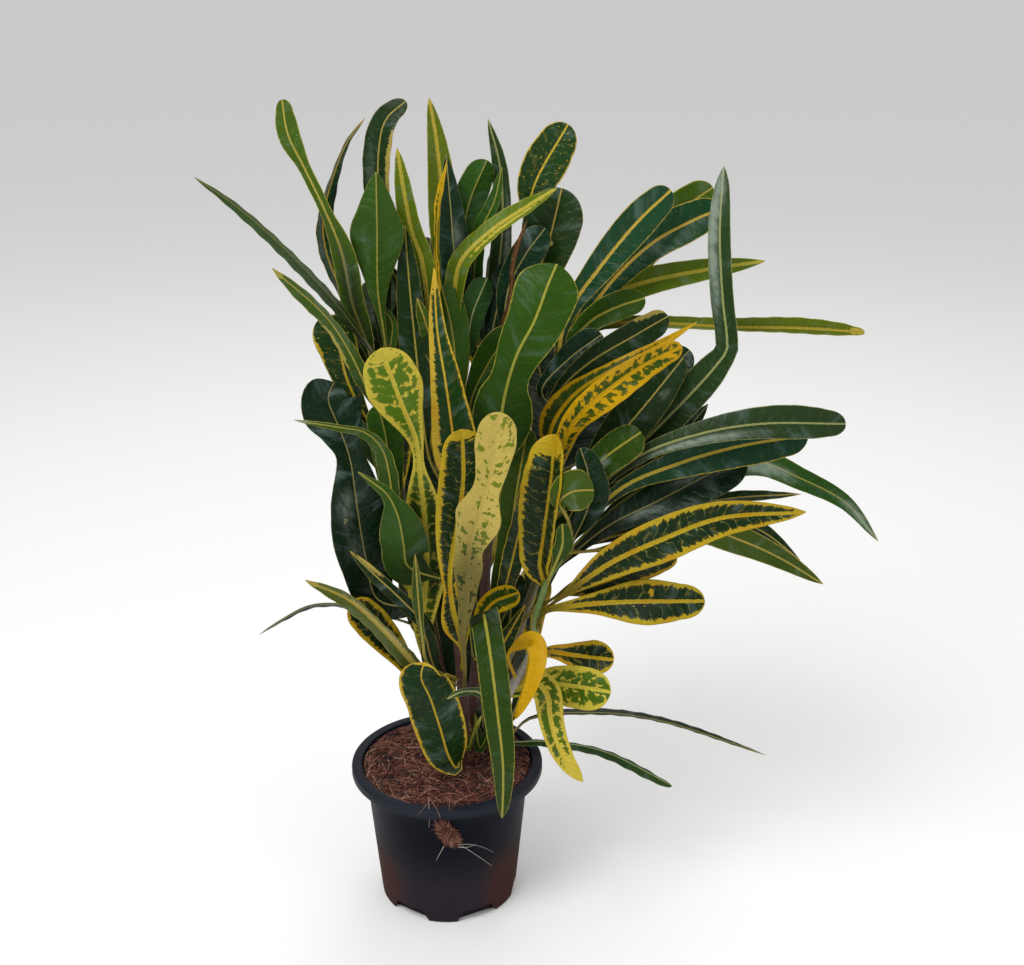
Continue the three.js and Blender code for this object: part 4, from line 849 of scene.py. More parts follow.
# On the centre stem, from the top down
leaf("centre", "spoon", 32, "green", [(472, 330, 8), (462, 290, 14), (462, 240, 22), (470, 200, 30),
     (487, 160, 36)], roll=-10, under=True)
leaf("centre", "pointed", 22, "split", [(490, 345, 18), (500, 260, 32), (503, 215, 38), (500, 165, 44),
     (488, 119, 48)], roll=20, bleach=[(0.5, 0.6, 60, 0.4, 0.7)])
leaf("centre", "pointed", 20, "green", [(474, 320, 2), (480, 235, 8), (495, 200, 12), (502, 167, 16)],
     roll=30)
leaf("centre", "paddle", 42, "fleck", [(500, 330, 10), (520, 280, 16), (527, 215, 24), (535, 183, 28),
     (568, 124, 38)], roll=-8)
leaf("centre", "spoon", 56, "dark", [(515, 345, 2), (532, 290, 10), (548, 245, 14), (562, 188, 22)],
     roll=12, gild=[(0.72, 0.0, 5, 0.2, 1)])
leaf("centre", "spoon", 32, "deep", [(500, 350, -4), (508, 290, -2), (525, 255, 2), (545, 228, 6)],
     roll=-14)
leaf("centre", "pointed", 6, "dry", [(508, 310, -6), (515, 255, -4), (527, 220, -2)], roll=20)
leaf("centre", "pinchWide", 58, "bright", [(490, 470, -26), (498, 440, -40), (505, 395, -60),
     (517, 355, -76), (535, 320, -84), (548, 285, -82), (557, 264, -70)], roll=8, under=True)
leaf("centre", "spoon", 30, "deep", [(488, 370, 4), (497, 310, 4), (515, 262, 6)], roll=18)
leaf("centre", "spoon", 38, "green", [(470, 410, -10), (490, 360, -18), (515, 328, -22)], roll=-20)
leaf("centre", "spoon", 26, "gold", [(474, 640, -14), (490, 605, -24), (519, 592, -32)], roll=-10)
leaf("centre", "pointed", 16, "green", [(488, 640, -6), (500, 615, -6), (516, 598, -6)], roll=20)
leaf("centre", "pointed", 18, "fleck", [(490, 665, -14), (505, 640, -24), (525, 605, -32)], roll=-16)
leaf("centre", "strap", 30, "olive", [(490, 612, -12), (508, 552, -18), (516, 495, -24), (528, 428, -26)],
     roll=12)
leaf("centre", "strap", 26, "fleck", [(492, 632, -16), (506, 584, -26), (519, 530, -34), (532, 470, -36)],
     roll=-30)
leaf("centre", "pointed", 12, "green", [(480, 748, -14), (487, 736, -22), (497, 716, -30)], roll=24)

# On the photo's right, mostly on the right stem, from the top down
leaf("right", "spoon", 34, "bold", [(558, 370, 0), (566, 318, -8), (600, 267, -12), (640, 219, -8),
     (671, 190, 2)], roll=-8)
leaf("right", "spoon", 37, "bold", [(572, 345, 12), (605, 290, 14), (650, 245, 16), (690, 222, 16),
     (722, 208, 16)], roll=12)
leaf("right", "spoon", 39, "olive", [(580, 331, 34), (620, 276, 40), (680, 211, 48), (713, 187, 52)],
     roll=-10)
leaf("right", "kinked", 34, "split", [(600, 480, 4), (640, 445, -4), (690, 395, -14), (716, 366, -18),
     (727, 350, -19), (727, 335, -18), (723, 300, -14), (720, 230, -8), (724, 166, 2)], roll=14,
     bleach=[(0.8, -0.6, 75, 0.5, 0.8), (0.97, 0, 40, 1, 0.5)])
leaf("right", "pointed", 30, "stripe", [(575, 340, 24), (600, 300, 28), (640, 284, 30), (700, 271, 34),
     (765, 261, 38)], roll=12)
leaf("right", "spoon", 28, "bright", [(568, 350, 6), (590, 322, 8), (615, 308, 8), (645, 298, 10)],
     roll=14)
leaf("right", "strap", 20, "stripe", [(560, 350, 14), (600, 327, 20), (650, 324, 24), (735, 328, 26),
     (800, 329, 22), (865, 333, 14)], roll=32, fold=34, gild=[(0.98, 0, 10, 1, 1)])
leaf("right", "spoon", 32, "dark", [(545, 425, -16), (560, 390, -18), (590, 362, -16), (635, 335, -10),
     (668, 316, -4)], roll=-20, gild=[(0.93, -0.9, 22, 0.3, 1)])
leaf("right", "lance", 28, "gold", [(550, 435, -30), (560, 412, -42), (580, 390, -50), (620, 366, -52),
     (660, 345, -46), (697, 322, -36)], roll=26, wave=4)
leaf("right", "strap", 30, "yellow", [(558, 460, -35), (572, 425, -50), (598, 398, -62), (640, 367, -64),
     (682, 346, -58)], roll=-26, wave=4)
leaf("right", "oval", 42, "dark", [(590, 470, -16), (615, 440, -24), (645, 405, -28), (683, 358, -22)],
     roll=-10, under=True, bleach=[(0.8, 0.4, 8, 0.3, 0.5)])
leaf("right", "spoon", 36, "deep", [(590, 455, 4), (640, 402, 6), (665, 375, 8), (690, 350, 12)], roll=14,
     gild=[(0.62, 0, 4, 0.25, 1.2)])
leaf("right", "pointed", 28, "deep", [(620, 480, 10), (675, 442, 18), (695, 420, 22), (708, 404, 28)],
     roll=-14)
leaf("farRight", "oval", 56, "mixed", [(546, 590, -34), (541, 565, -56), (544, 540, -70), (548, 510, -84),
     (553, 470, -94), (555, 434, -88)], roll=34, fold=36, gild=[(0.95, 0, 16, 1.2, 1),
     (0.7, -1, 50, 0.22, 0.9)])
leaf("farRight", "paddle", 38, "olive", [(571, 542, -64), (568, 520, -84), (560, 502, -100),
     (572, 492, -106), (594, 490, -104)], roll=8)
leaf("farRight", "petal", 20, "bright", [(556, 562, -66), (562, 545, -72), (562, 524, -76)], roll=-24)
leaf("right", "spoon", 35, "bright", [(565, 505, -34), (580, 485, -46), (605, 458, -54), (641, 432, -56)],
     roll=12, under=True, bleach=[(0.7, 0.1, 10, 0.4, 0.8)])
leaf("farRight", "oval", 34, "deep", [(590, 500, -58), (588, 474, -62), (580, 448, -62)], roll=-18,
     fold=30)
leaf("right", "spoon", 28, "deep", [(542, 390, -8), (570, 358, -8), (602, 334, -4)], roll=10)
leaf("right", "pointed", 22, "dark", [(560, 375, 4), (578, 348, 6), (594, 328, 8)], roll=-24)
leaf("right", "pointed", 18, "dark", [(504, 738, 14), (530, 719, 18), (600, 713, 24), (660, 721, 28),
     (766, 755, 32)], roll=66, wave=0.5)
leaf("right", "strap", 18, "grey", [(502, 739, 22), (545, 742, 20), (600, 751, 12), (672, 786, -4)],
     roll=58, under=True, wave=0.5)

# On the far-right stem, from the top down
leaf("farRight", "spoon", 32, "split", [(590, 500, -40), (640, 456, -56), (700, 434, -64),
     (760, 424, -64), (846, 424, -60)], roll=14, bleach=[(0.55, 0.6, 70, 0.4, 0.8)])
leaf("farRight", "spoon", 40, "bold", [(572, 540, -38), (620, 489, -42), (680, 463, -46), (740, 446, -44),
     (808, 435, -38)], roll=-14)
leaf("farRight", "spoon", 50, "deep", [(566, 560, -36), (610, 525, -36), (660, 500, -30),
     (745, 455, -16)], roll=10, bleach=[(0.5, 0.3, 30, 0.4, 0.6), (0.75, -0.3, 26, 0.4, 0.5)])
leaf("farRight", "pointed", 28, "green", [(600, 520, -24), (640, 490, -12), (700, 470, 4), (760, 462, 12),
     (800, 478, 12), (845, 502, 0), (878, 541, -14)], roll=-10, bleach=[(0.62, 0.3, 40, 0.7, 0.8),
     (0.95, 0, 50, 1, 0.7)])
leaf("farRight", "pointed", 18, "dark", [(600, 538, -30), (650, 517, -14), (720, 500, -6), (801, 494, 0)],
     roll=36)
leaf("farRight", "pointed", 32, "olive", [(610, 548, -40), (690, 525, -24), (740, 540, -24),
     (780, 558, -28), (823, 584, -34)], roll=-8)
leaf("farRight", "pointed", 24, "dark", [(620, 535, -20), (700, 520, -4), (755, 528, 2), (800, 560, 4)],
     roll=18)
leaf("farRight", "pointed", 42, "mixed", [(560, 598, -60), (610, 563, -82), (660, 540, -96),
     (720, 518, -98), (806, 512, -92)], roll=-16, dusk=[(0.08, 0, 45, 2, 1)])
leaf("farRight", "oval", 28, "mixed", [(566, 592, -50), (600, 583, -54), (630, 572, -54),
     (677, 557, -50)], roll=10, dusk=[(0.08, 0, 45, 2, 1)])
leaf("farRight", "petal", 44, "mixed", [(545, 612, -58), (580, 605, -66), (620, 602, -74),
     (705, 601, -86)], roll=-8, dusk=[(0.05, 0, 45, 2, 1.1)], gild=[(0.72, -0.4, 4, 0.2, 1)])
leaf("farRight", "spoon", 34, "mixed", [(538, 655, -44), (552, 652, -50), (572, 655, -56),
     (596, 658, -62), (614, 660, -64)], roll=8, dusk=[(0.1, 0, 30, 2, 1)], gild=[(0.45, -1, 16, 0.6, 1)])
leaf("farRight", "spoon", 44, "light", [(505, 695, -52), (545, 684, -74), (575, 686, -86),
     (611, 692, -94)], roll=-12)
leaf("farRight", "tongue", 28, "light", [(530, 680, -60), (547, 695, -88), (550, 716, -100),
     (555, 738, -112), (565, 760, -122), (583, 782, -132)], roll=14, gild=[(0.9, 0, 22, 1, 0.9)])
leaf("farRight", "drooping", 19, "orange", [(508, 655, -56), (520, 645, -72), (534, 641, -92),
     (538, 656, -104), (533, 680, -114), (524, 702, -118), (514, 720, -120)], roll=-14,
     dusk=[(0.7, 0.9, 40, 0.14, 0.8)])

# In front of the stems' feet and low between them
leaf("middle", "triple", 43, "pale", [(465, 672, -60), (463, 630, -82), (467, 598, -96), (468, 570, -108),
     (470, 544, -118), (478, 520, -128), (485, 495, -136), (491, 475, -142), (500, 412, -150)], roll=4,
     wave=4, gild=[(0.93, -0.3, 18, 0.8, 0.8)], dusk=[(0.25, 0, 118, 2, 1.45)])
leaf("front", "hanging", 29, "bright", [(486, 650, -64), (484, 622, -74), (484, 615, -86),
     (487, 632, -100), (491, 659, -112), (497, 708, -128), (503, 764, -134), (503, 798, -130),
     (502, 818, -126)], roll=-6, under=True)
leaf("front", "pointed", 10, "grey", [(480, 693, -58), (470, 691, -64), (458, 693, -70), (447, 699, -74)],
     roll=20)
leaf("middle", "pointed", 7, "bright", [(468, 748, -46), (474, 732, -50), (482, 715, -54)], roll=20)
leaf("middle", "spoon", 40, "dark", [(454, 722, 2), (446, 680, 12), (438, 632, 20), (431, 590, 24)],
     roll=14)
leaf("centre", "spoon", 42, "dark", [(477, 742, 6), (475, 692, 14), (471, 642, 22), (467, 602, 26)],
     roll=-12)
leaf("right", "spoon", 40, "dark", [(492, 724, 24), (502, 670, 34), (510, 620, 42), (514, 572, 48)],
     roll=14)
leaf("centre", "pointed", 20, "deep", [(484, 742, -8), (483, 722, -12), (480, 692, -16)], roll=-14)
leaf("farRight", "spoon", 24, "dark", [(510, 722, -8), (522, 692, -2), (536, 656, 6)], roll=10)

# Round the back, where the stems' other leaves grow away from the viewer
leaf("left", "spoon", 39, "dark", [(390, 395, 8), (384, 340, 50), (380, 296, 90), (384, 276, 108)],
     roll=20)
leaf("left", "spoon", 46, "deep", [(398, 440, 12), (380, 370, 70), (366, 332, 115), (353, 314, 152)],
     roll=-10)
leaf("left", "strap", 43, "mixed", [(402, 480, 12), (396, 400, 68), (390, 352, 112), (386, 326, 150)],
     roll=24)
leaf("left", "spoon", 43, "dark", [(408, 520, 10), (384, 460, 70), (366, 434, 120), (350, 430, 166)],
     roll=-16)
leaf("left", "spoon", 41, "deep", [(412, 560, 8), (402, 480, 58), (396, 432, 98), (392, 406, 130)],
     roll=12)
leaf("left", "strap", 39, "light", [(420, 600, 4), (400, 550, 60), (386, 532, 110), (376, 534, 152)],
     roll=-22)
leaf("left", "pointed", 34, "dark", [(430, 650, 0), (414, 582, 52), (406, 546, 92), (402, 532, 124)],
     roll=16)
leaf("middle", "spoon", 39, "deep", [(430, 365, 8), (432, 300, 48), (430, 256, 84), (430, 238, 102)],
     roll=-20)
leaf("middle", "spoon", 46, "dark", [(434, 410, 10), (424, 340, 64), (418, 302, 108), (412, 282, 146)],
     roll=14)
leaf("middle", "strap", 43, "mixed", [(440, 460, 8), (446, 380, 60), (450, 332, 104), (452, 306, 140)],
     roll=-12)
leaf("middle", "spoon", 48, "dark", [(448, 520, 4), (430, 440, 70), (420, 402, 120), (412, 388, 166)],
     roll=18)
leaf("middle", "spoon", 43, "mixed", [(454, 580, 0), (456, 500, 58), (458, 452, 104), (460, 432, 140)],
     roll=-24)
leaf("middle", "strap", 39, "light", [(459, 645, -6), (438, 582, 58), (426, 556, 114), (418, 556, 160)],
     roll=-14)
leaf("centre", "spoon", 39, "dark", [(488, 362, 22), (500, 300, 68), (508, 262, 104), (512, 246, 126)],
     roll=16)
leaf("centre", "spoon", 46, "mixed", [(489, 410, 24), (478, 342, 76), (474, 312, 116), (474, 304, 150)],
     roll=-18)
leaf("centre", "strap", 48, "deep", [(490, 460, 24), (506, 380, 80), (516, 338, 125), (522, 318, 162)],
     roll=12)
leaf("centre", "spoon", 48, "dark", [(488, 520, 20), (476, 440, 80), (470, 402, 130), (468, 388, 172)],
     roll=-10)
leaf("centre", "spoon", 43, "mixed", [(485, 580, 16), (506, 512, 80), (518, 478, 130), (526, 466, 172)],
     roll=20)
leaf("centre", "strap", 41, "dark", [(480, 640, 10), (470, 560, 70), (464, 522, 118), (462, 508, 156)],
     roll=-16)
leaf("centre", "pointed", 36, "deep", [(474, 690, 6), (494, 632, 68), (506, 602, 118), (514, 596, 160)],
     roll=14)
leaf("right", "spoon", 39, "mixed", [(562, 425, 34), (574, 362, 80), (580, 326, 112), (582, 312, 130)],
     roll=18)
leaf("right", "spoon", 48, "dark", [(560, 450, 30), (540, 372, 84), (532, 332, 130), (526, 314, 166)],
     roll=-14)
leaf("right", "strap", 48, "deep", [(558, 480, 30), (590, 412, 88), (610, 378, 138), (628, 364, 180)],
     roll=10)
leaf("right", "spoon", 48, "dark", [(552, 530, 26), (548, 442, 84), (546, 398, 134), (546, 378, 172)],
     roll=-20)
leaf("right", "spoon", 46, "mixed", [(545, 560, 26), (580, 500, 90), (602, 472, 140), (620, 466, 184)],
     roll=14)
leaf("right", "strap", 43, "dark", [(530, 600, 24), (538, 530, 80), (542, 492, 124), (544, 478, 160)],
     roll=-18)
leaf("right", "pointed", 36, "light", [(515, 645, 20), (530, 592, 78), (536, 572, 124), (536, 570, 162)],
     roll=16)
leaf("right", "strap", 34, "dark", [(500, 695, 18), (512, 652, 80), (520, 642, 130), (522, 654, 172)],
     roll=-12)
leaf("right", "spoon", 41, "dark", [(536, 606, -6), (560, 542, 34), (574, 508, 75), (584, 494, 116)],
     roll=12)
leaf("farRight", "strap", 32, "mixed", [(528, 655, -22), (534, 602, 40), (536, 582, 90), (534, 582, 132)],
     roll=-18)


def stemCurve(stem):
    # a stem's photo points, led by the place where it comes out of the soil
    x, y = stem["foot"]
    surface = photographed((x, y, soilLevel + soil["crown"] + stemForm["above"]))
    return [surface, *stem["path"]]


def stemRadius(share):
    # from the foot's to the top's in even steps
    return stemForm["foot"] + share * (stemForm["top"] - stemForm["foot"])


def rootedPath(row):
    # a leaf's photo points, led by its stem's point nearest to just below the first of them
    ways = alongCurve(stemCurve(stems[row["stem"]]), np.linspace(0, 1, 60))[6:]
    across, down = row["path"][0][:2]
    near = np.hypot(ways[:, 0] - across, ways[:, 1] - down - blade["rootDrop"])
    return [ways[near.argmin()], *row["path"]]


def outline(shape):
    # Catmull-Rom curve through the outline's points, with slopes of half the next minus the last
    knots = np.array([*shapes[shape], (1, blade["tipWidth"])], float)
    ends = np.vstack([knots[:1], knots, knots[-1:]])
    slopes = (ends[2:] - ends[:-2]) / 2
    s = np.linspace(0, 1, 60, endpoint=False)[:, None]
    pieces = [a * (1 - 3 * s ** 2 + 2 * s ** 3) + b * (3 * s ** 2 - 2 * s ** 3)
              + m * (s - 2 * s ** 2 + s ** 3) + n * (s ** 3 - s ** 2)
              for a, b, m, n in zip(knots, knots[1:], slopes, slopes[1:])]
    return np.vstack([*pieces, knots[-1:]]).T


outlines = {shape: outline(shape) for shape in shapes}


def halfWidth(row, shares):
    # half the blade's width, which is at least the petiole's
    return np.maximum(np.interp(shares, *outlines[row["shape"]]) * row["width"], blade["petiole"]) / 2


def lengthOf(row):
    # how long a leaf is from its stem to its tip (mm)
    way = seen(alongCurve(rootedPath(row), np.linspace(0, 1, 40)))
    return float(np.linalg.norm(np.diff(way, axis=0), axis=1).sum())


def fineWidth(row, shares):
    # the same with a true tip, which is narrower than a petiole. A round one is half an ellipse: from
    # share s0 on it is the half-width at s0 times sqrt(1 - ((s - s0) / (1 - s0))^2)
    widths = outlines[row["shape"]]
    reach = np.interp(shares, *widths)
    start = 1 - blade["tipLength"] * row["width"] / 2 / lengthOf(row)
    if row["shape"] in blade["rounded"]:
        t = np.clip((shares - start) / (1 - start), 0, 1)
        reach = np.where(shares > start, np.interp(start, *widths) * np.sqrt(1 - t ** 2), reach)
    outer = np.maximum(reach * row["width"] / 2, blade["tip"])
    return np.where(shares > blade["petioleEnds"], outer, halfWidth(row, shares))


def stations():
    # points of all leaves and then all stems: place as seen, its owner's number, how far it reaches to
    # the side and in depth, and how free it is to move, which is 0 at a leaf's root and on a stem
    count = makingWay["stations"]
    shares = np.linspace(0, 1, count)
    rows = []
    for number, row in enumerate(leaves):
        wide = halfWidth(row, shares)
        roll = math.radians(row["roll"])
        rows.append((alongCurve(rootedPath(row), shares), np.full(count, number),
                     wide * math.cos(roll) + makingWay["pixelRoom"],
                     makingWay["rolledShare"] * wide * abs(math.sin(roll)),
                     np.minimum(1, shares / makingWay["stiffShare"]) ** 2))
    shares = np.linspace(0, 1, 2 * count)
    for number, stem in enumerate(stems.values()):
        wide = stemRadius(shares)
        rows.append((alongCurve(stemCurve(stem), shares), np.full(2 * count, len(leaves) + number),
                     wide, wide, np.zeros(2 * count)))
    return [np.concatenate(column) for column in zip(*rows)]


def makeWay():
    # Leaves move in depth alone, which leaves their places in the photograph. Where two overlap as
    # seen, the one behind on average is kept behind by the room both need, over many small rounds
    at, owner, reach, thick, free = stations()
    order = list(stems)
    ownStem = np.array([len(leaves) + order.index(row["stem"]) for row in leaves] + [-1] * len(stems))
    apart = np.hypot(at[:, None, 0] - at[None, :, 0], at[:, None, 1] - at[None, :, 1])
    a, b = np.nonzero(np.triu(apart < reach[:, None] + reach[None, :], 1))
    kept = (owner[a] != owner[b]) & (ownStem[owner[a]] != owner[b]) & (free[a] + free[b] > 0)
    a, b = a[kept], b[kept]
    pair = owner[a] * (len(leaves) + len(stems)) + owner[b]
    behind = np.bincount(pair, at[b, 2] - at[a, 2])[pair]
    way = np.where(behind < 0, -1.0, 1.0)
    need = makingWay["leafRoom"] + thick[a] + thick[b]
    size, count = len(at), makingWay["stations"]
    shift = np.zeros(size)
    blades = shift[:len(leaves) * count].reshape(-1, count)  # the same numbers, leaf by leaf
    for _ in range(makingWay["rounds"]):
        depth = at[:, 2] + shift
        lack = need - way * (depth[b] - depth[a])
        short = lack > 0
        near, far = a[short], b[short]
        each = way[short] * lack[short] / (free[near] + free[far])
        push = np.bincount(far, each * free[far], size) - np.bincount(near, each * free[near], size)
        pushes = np.bincount(far, minlength=size) + np.bincount(near, minlength=size)
        shift += makingWay["step"] * push / np.maximum(pushes, 1)
        middle = np.hstack([blades[:, :1], (blades[:, :-2] + blades[:, 2:]) / 2, blades[:, -2:-1]])
        blades += makingWay["smooth"] * (middle - blades)
        blades[:, 0] = 0
    return blades


shifts = makeWay()
print("leaves make way:", len(leaves), "leaves, at most", round(float(abs(shifts).max()), 1), "mm")


# How a blade is painted: side veins this far apart along the midrib (mm) that climb outwards, tints of
# veins and patches, the painted sheen (the sky's reflection) and its painted glints, the green low and
# high up (metres), which is painted light, the painted shade at the root, and the orange blaze in the
# yellow
vein = {"spacing": 11.0, "climb": 0.55, "pale": "#a0ae6e", "greyGlareColour": "#8e9a8c", "shade": "#0f1c07",
        "shine": "#93a9a6", "sheen": 1.9, "glints": 0.5, "gloss": 0.14, "rootShade": 0.75,
        "low": 0.62, "high": 1.42, "paintedLightUp": (0.2, 0.75),
        "orange": "#b5711c", "blaze": 0.3, "relief": 0.0014, "reliefShare": 0.6}
seedStep = 0.6180339887  # the golden section, which gives neighbouring leaves unlike seeds


def turned(vectors, axis, angle):
    # turns vectors about an axis they are square to: v cos + (axis x v) sin
    return vectors * math.cos(angle) + np.cross(axis, vectors) * math.sin(angle)


def patches(spots, shares, across, length):
    # soft spots on a blade: strength * exp(-distance squared), each with its own half-sizes
    total = np.zeros((len(shares), len(across)))
    for share, u, longer, wider, strength in spots:
        far = ((shares[:, None] - share) * length / longer) ** 2 + ((across - u) / wider) ** 2
        total += strength * np.exp(-far)
    return total


def leafSurface(row, shift, seed):
    # A blade as rings across its way. Each half rises from the midrib by the fold, arches down to
    # its edge and waves along it; the midrib is a ridge below and a groove above
    shares = 1 - (1 - np.linspace(0, 1, blade["rows"])) ** blade["crowding"]
    at = alongCurve(rootedPath(row), shares)
    soft = np.convolve(np.pad(shift, 1, "edge"), (0.25, 0.5, 0.25), "valid")
    soft[0] = 0
    at[:, 2] += np.interp(shares, np.linspace(0, 1, len(soft)), soft)
    centres = seen(at)
    along = unit(np.gradient(centres, axis=0))
    toEye = eyePlace - centres
    facing = unit(toEye - (toEye * along).sum(-1, keepdims=True) * along)
    roll = -math.radians(row["roll"])
    face = turned(facing, along, roll)
    side = turned(np.cross(along, facing), along, roll)
    length = reachedAlong(centres)
    # from here on, one row for each share of the length and one column for each place across (u)
    share, reached = shares[:, None], length[:, None]
    steps = np.array(blade["columns"])
    u = np.concatenate([-steps[::-1], [0], steps])
    a, hand = abs(u), np.sign(u)
    half = fineWidth(row, shares)[:, None]
    full = np.minimum(1, half / (row["width"] / 2))
    top = -1 if row["under"] else 1
    fold = math.radians(row["fold"])
    wave = np.sin(2 * math.pi * blade["waves"] * share + hand) * a ** blade["waveFade"]
    ripples = 2 * math.pi * reached / blade["rippleLength"] + 2.4 * hand + blade["rippleSeed"] * seed
    ripple = np.sin(ripples) * a ** blade["rippleFade"]
    rise = (top * math.sin(fold) * half * a * (1 + blade["arch"] - blade["arch"] * a)
            + full * (row["wave"] * wave + blade["ripple"] * ripple))
    blend = blade["petioleBlend"]
    petiole = np.clip((blade["petiole"] / 2 + blend - half) / blend, 0, 1) * (share < blade["petioleEnds"])
    flat = blade["edge"] + (blade["middle"] - blade["edge"]) * (1 - a) ** 2
    thick = (flat * np.minimum(1, 12 * (1 - a)) * np.minimum(1, half / 2) * (1 - petiole)
             + petiole * blade["petioleDepth"] * half * np.sqrt(np.maximum(1 - a ** 2, 0)))
    ridge = np.exp(-(half * u / blade["ribWidth"]) ** 2) * (1 - petiole) * full ** 0.5
    above, below = (blade["groove"], blade["rib"])[::top]
    upper = rise + thick / 2 - top * above * ridge
    lower = rise - thick / 2 - top * below * ridge
    level = centres[:, None] + (half * u * math.cos(fold))[..., None] * side[:, None]
    over = level + upper[..., None] * face[:, None]
    under = (level + lower[..., None] * face[:, None])[:, -2:0:-1]
    points, faces = capped(np.concatenate([over, under], 1))
    ring = np.concatenate([u, u[-2:0:-1]])
    grid = (len(shares), len(ring))
    marks = {"place": spread((half * ring, reached, half), grid),
             "where": spread((ring, share, seed), grid)}
    for kind, spots in row["patches"].items():
        marks[kind] = patches(spots, shares, ring, length[-1])
    return points, faces, {mark: cappedMarks(values) for mark, values in marks.items()}


def leafPaint(name, look):
    # Yellow lies on the margin, midrib, side veins, flecks and spots of a green blade: its share is the
    # largest of theirs. Side veins are lines of equal climb: along - a share of the distance from the rib
    paint = Paint(name)
    across, along, half = paint.parts(paint.attribute("place"))
    side, share, seed = paint.parts(paint.attribute("where"))
    gild, bleach, dusk = [paint.attribute(kind, "Fac") for kind in ("gild", "bleach", "dusk")]
    out = abs(across)
    right = side.step(-0.01, 0.01)
    climb = along - vein["climb"] * out
    lane = seed * 45 + right * 9
    # clouds and grain over the whole blade, stains drawn out along its side veins, the painted sheen's
    # streaks (haze) along them too, and the dots of painted glints
    flat = paint.vector(across, along + seed * 977, seed * 61)
    cloud = paint.noise(flat, 0.035, 2.0)
    grain = paint.noise(flat, 0.3, 3.0, 0.6)
    bend = paint.noise(flat, 0.075, 2.0, 0.5)
    tooth = paint.noise(paint.vector(climb * 0.4, out * 0.1, lane), 1.0, 3.0, 0.6)
    blot = paint.noise(paint.vector(climb * 0.13, out * 0.17, lane + 3), 1.0, 2.0, 0.5)
    dot = paint.noise(paint.vector(climb * 0.5, out * 0.4, lane + 5), 1.0, 1.0, 0.5)
    haze = paint.noise(paint.vector(climb * 0.06, out * 0.025, lane + 8), 1.0, 4.0, 0.6)
    glints = paint.noise(paint.vector(across + seed * 531, along, seed * 19), 0.55, 1.0, 0.5)
    phase = climb / vein["spacing"] + right * 0.5 + 2.0 * bend + seed * 7
    near = abs(paint.math("FRACT", phase) - 0.5) * 2  # 1 on a side vein, 0 halfway to the next
    # how far each yellow mark covers
    margin = look["margin"] * (0.35 + 0.65 * (half / 18)) * (1.7 * tooth - 0.15 + 0.3 * near * near)
    edged = 1 - (half - out).step(margin - 0.3, margin + 0.35)
    rib = look["rib"] * (1.1 - 0.5 * share) * (0.45 + 0.9 * tooth)
    ribbed = 1 - out.step(rib - 0.25, rib + 0.35)
    field = near * near * (0.1 + 0.5 * bend) + (blot - 0.5) * 2.0 + (tooth - 0.5) * 0.6
    spots, flecks, veins = look["spots"], look["flecks"], look["veins"]
    spotted = field.step(0.5 - spots, 0.57 - spots) * (1.0 if spots else 0.0)
    flecked = dot.step(0.78 - 0.12 * flecks, 0.82 - 0.12 * flecks) * min(1, 4 * flecks)
    gilded = (gild + (tooth - 0.5) * 0.9).step(0.42, 0.55)
    yellow = paint.most(edged, ribbed, spotted, flecked, gilded)
    fade = 1 - (out / half).step(0.45 + 0.3 * veins, 1.0)
    veined = near.step(0.93, 0.99) * (blot + 0.3 * veins).step(0.4, 0.65) * fade
    # the green: lighter high up (painted light), paler along veins and near the yellow, with a painted
    # sheen and painted glints, and darker at the root (painted shade)
    # painted light: the green is lighter higher up in the plant, where more light falls
    up = paint.parts(paint.place())[2].step(*vein["paintedLightUp"])
    green = paint.mix(cloud * 0.5 + up * 0.5, colour(look["green"], vein["low"]),
                      colour(look["green"], vein["high"]))
    rim = field.step(0.22 - spots, 0.5 - spots) * min(1, 3 * veins)
    if look["margin"] > 2:
        rim = paint.most(rim, 1 - (half - out).step(margin, margin + 2.5))
    green = paint.mix(rim * 0.3, green, colour(look["yellow"], 0.42))
    green = paint.mix(veined * veins, green, colour(vein["pale"]))
    # painted sheen: bluish-grey streaks that stand for the sky's reflection, stronger on glossier leaves
    sheen = max(0, 0.5 - look["roughness"]) * vein["sheen"]
    green = paint.mix(haze.step(0.52, 0.8) * sheen, green, colour(vein["shine"]))
    # painted glints: small pale dots in the same reflection colour
    green = paint.mix(glints.step(0.765, 0.8) * vein["glints"], green, colour(vein["shine"]))
    # painted shade towards the root, deep in the crown, and in the dusk patches, which are partly painted
    # shade and partly the leaf's own darker green
    shaded = dusk.step(0.1, 0.9)
    root = (1 - share.step(0.08, 0.5)) * vein["rootShade"]
    green = paint.mix(paint.most(shaded * 0.85, root), green, colour(vein["shade"]))
    # the yellow, with orange in wide margins of glossy leaves
    gold = paint.mix(grain, colour(look["yellow"], 0.68), colour(look["yellow"], 1.04))
    if look["margin"] > 2 and look["roughness"] < 0.42:
        gold = paint.mix(cloud.step(0.48, 0.72) * vein["blaze"], gold, colour(vein["orange"]))
    # the dusk patches darken the yellow too: partly painted shade, partly the leaf's own darker colour
    gold = paint.mix(shaded * 0.7, gold, colour(vein["shade"]))
    tint = paint.mix(yellow, green, gold)
    # pale grey-green patches: mostly a painted highlight, partly the leaf's own grey-green
    greyGlareShare = (bleach * (0.35 + 1.3 * blot)).step(0.15, 0.9)
    tint = paint.mix(greyGlareShare * 0.7, tint, colour(vein["greyGlareColour"]))
    tone = paint.node("ShaderNodeHueSaturation", None,
                      {"Hue": 0.49 + 0.02 * seed, "Saturation": 1.04,
                       "Value": 0.85 + 0.3 * paint.math("FRACT", seed * 37), "Color": tint})
    relief = near.step(0.5, 1.0) * -0.35 + grain * 0.25 + cloud * 0.6
    return paint.done({"Base Color": tone, "Roughness": look["roughness"] + (grain - 0.5) * 0.25,
                       "Specular IOR Level": vein["gloss"],
                       "Normal": paint.bump(relief, vein["relief"], vein["reliefShare"])})


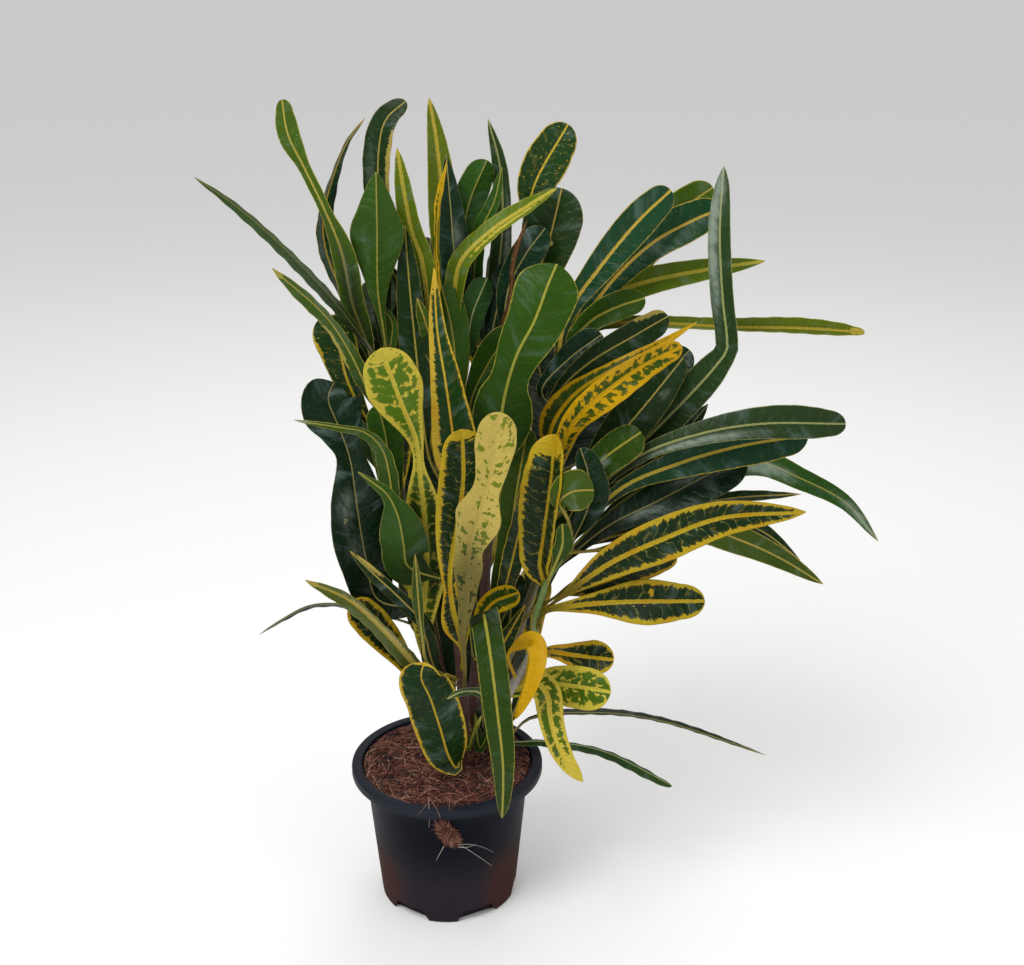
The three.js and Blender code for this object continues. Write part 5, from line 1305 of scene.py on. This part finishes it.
def growLeaves():
    paints = {name: leafPaint("leaf_" + name, look) for name, look in looks.items()}
    order = list(looks)
    for name, stem in stems.items():
        own = [(number, row) for number, row in enumerate(leaves) if row["stem"] == name]
        made = [leafSurface(row, shifts[number], number * seedStep % 1) for number, row in own]
        points, faces = joined([each[:2] for each in made])
        marks = {mark: np.concatenate([each[2][mark] for each in made]) for mark in made[0][2]}
        foliage = piece(stem["node"].replace("stem", "leaves"), points, faces, paints["dark"],
                        marks, [stem["node"]])
        foliage.data.materials.clear()
        for paint in paints.values():
            foliage.data.materials.append(paint)
        kinds = [order.index(row["look"]) for number, row in own]
        kinds = np.repeat(kinds, [len(each[1]) for each in made])
        foliage.data.polygons.foreach_set("material_index", kinds.tolist())
    print("leaves made")


# Bark: its colour below, the green one above, and how dark the rings at the leaf scars are
barks = {"brown": ("#4d2c26", "#4a5526", 0.6),
         "grey": ("#9a9488", "#66803c", 0.5),
         "green": ("#6d6448", "#4f7a2c", 0.4)}


def barkPaint(name, low, high, scars):
    # bark below, green above, with a dark ring at each leaf scar and streaks along the stem
    paint = Paint(name)
    around, along, share = paint.parts(paint.attribute("place"))
    streak = paint.noise(paint.vector(around * 3, along * 0.05, share), 1.0, 4.0, 0.6)
    spot = paint.noise(paint.place(), 420.0, 4.0, 0.6)
    ring = abs(paint.math("FRACT", along / stemForm["scarLength"]) - 0.5) * 2
    bark = paint.mix(streak, colour(low, 0.6), colour(low, 1.35))
    young = paint.mix(streak, colour(high, 0.75), colour(high, 1.25))
    tint = paint.mix((share + (spot - 0.5) * 0.5).step(0.42, 0.72), bark, young)
    tint = paint.mix(ring.step(0.82, 1.0) * scars, tint, colour(low, 0.45))
    relief = streak * 0.7 + spot * 0.4 - ring.step(0.8, 1.0) * 0.5
    return paint.done({"Base Color": tint, "Roughness": 0.62 + (spot - 0.5) * 0.3,
                       "Normal": paint.bump(relief, 0.0009, 0.7)})


def growStems():
    # rings from the foot in the soil to the top, a little wider at each leaf scar
    paints = {name: barkPaint("bark_" + name, *values) for name, values in barks.items()}
    angles = roundAngles(stemForm["sides"])
    shares = np.linspace(0, 1, stemForm["rows"])
    share = np.concatenate([[0], shares])
    for stem in stems.values():
        x, y = stem["foot"]
        foot = [x, y, soilLevel - stemForm["depth"]]
        centres = np.vstack([foot, seen(alongCurve(stemCurve(stem), shares))])
        along = unit(np.gradient(centres, axis=0))
        along[:2] = (0, 0, 1)
        reached = reachedAlong(centres)
        scar = np.maximum(np.cos(2 * math.pi * reached / stemForm["scarLength"]), 0) ** 4
        radius = stemRadius(share) * np.minimum(1, 12 * (1.02 - share)) + stemForm["scars"] * scar
        side = unit(np.cross((0.0, 1.0, 0.0), along))
        bulge = 1 + stemForm["bulge"] * np.sin(3 * angles + reached[:, None] * 0.06)
        points, faces = capped(tube(centres, side, np.cross(along, side), radius[:, None] * bulge))
        place = spread((np.sin(angles), reached[:, None], share[:, None]), bulge.shape)
        piece(stem["node"].replace("stem", "wood"), points, faces, paints[stem["bark"]],
              {"place": cappedMarks(place)}, [stem["node"]])
    print("stems made")


growLeaves()
growStems()
makePot()
makeSoil()
makeCoir()
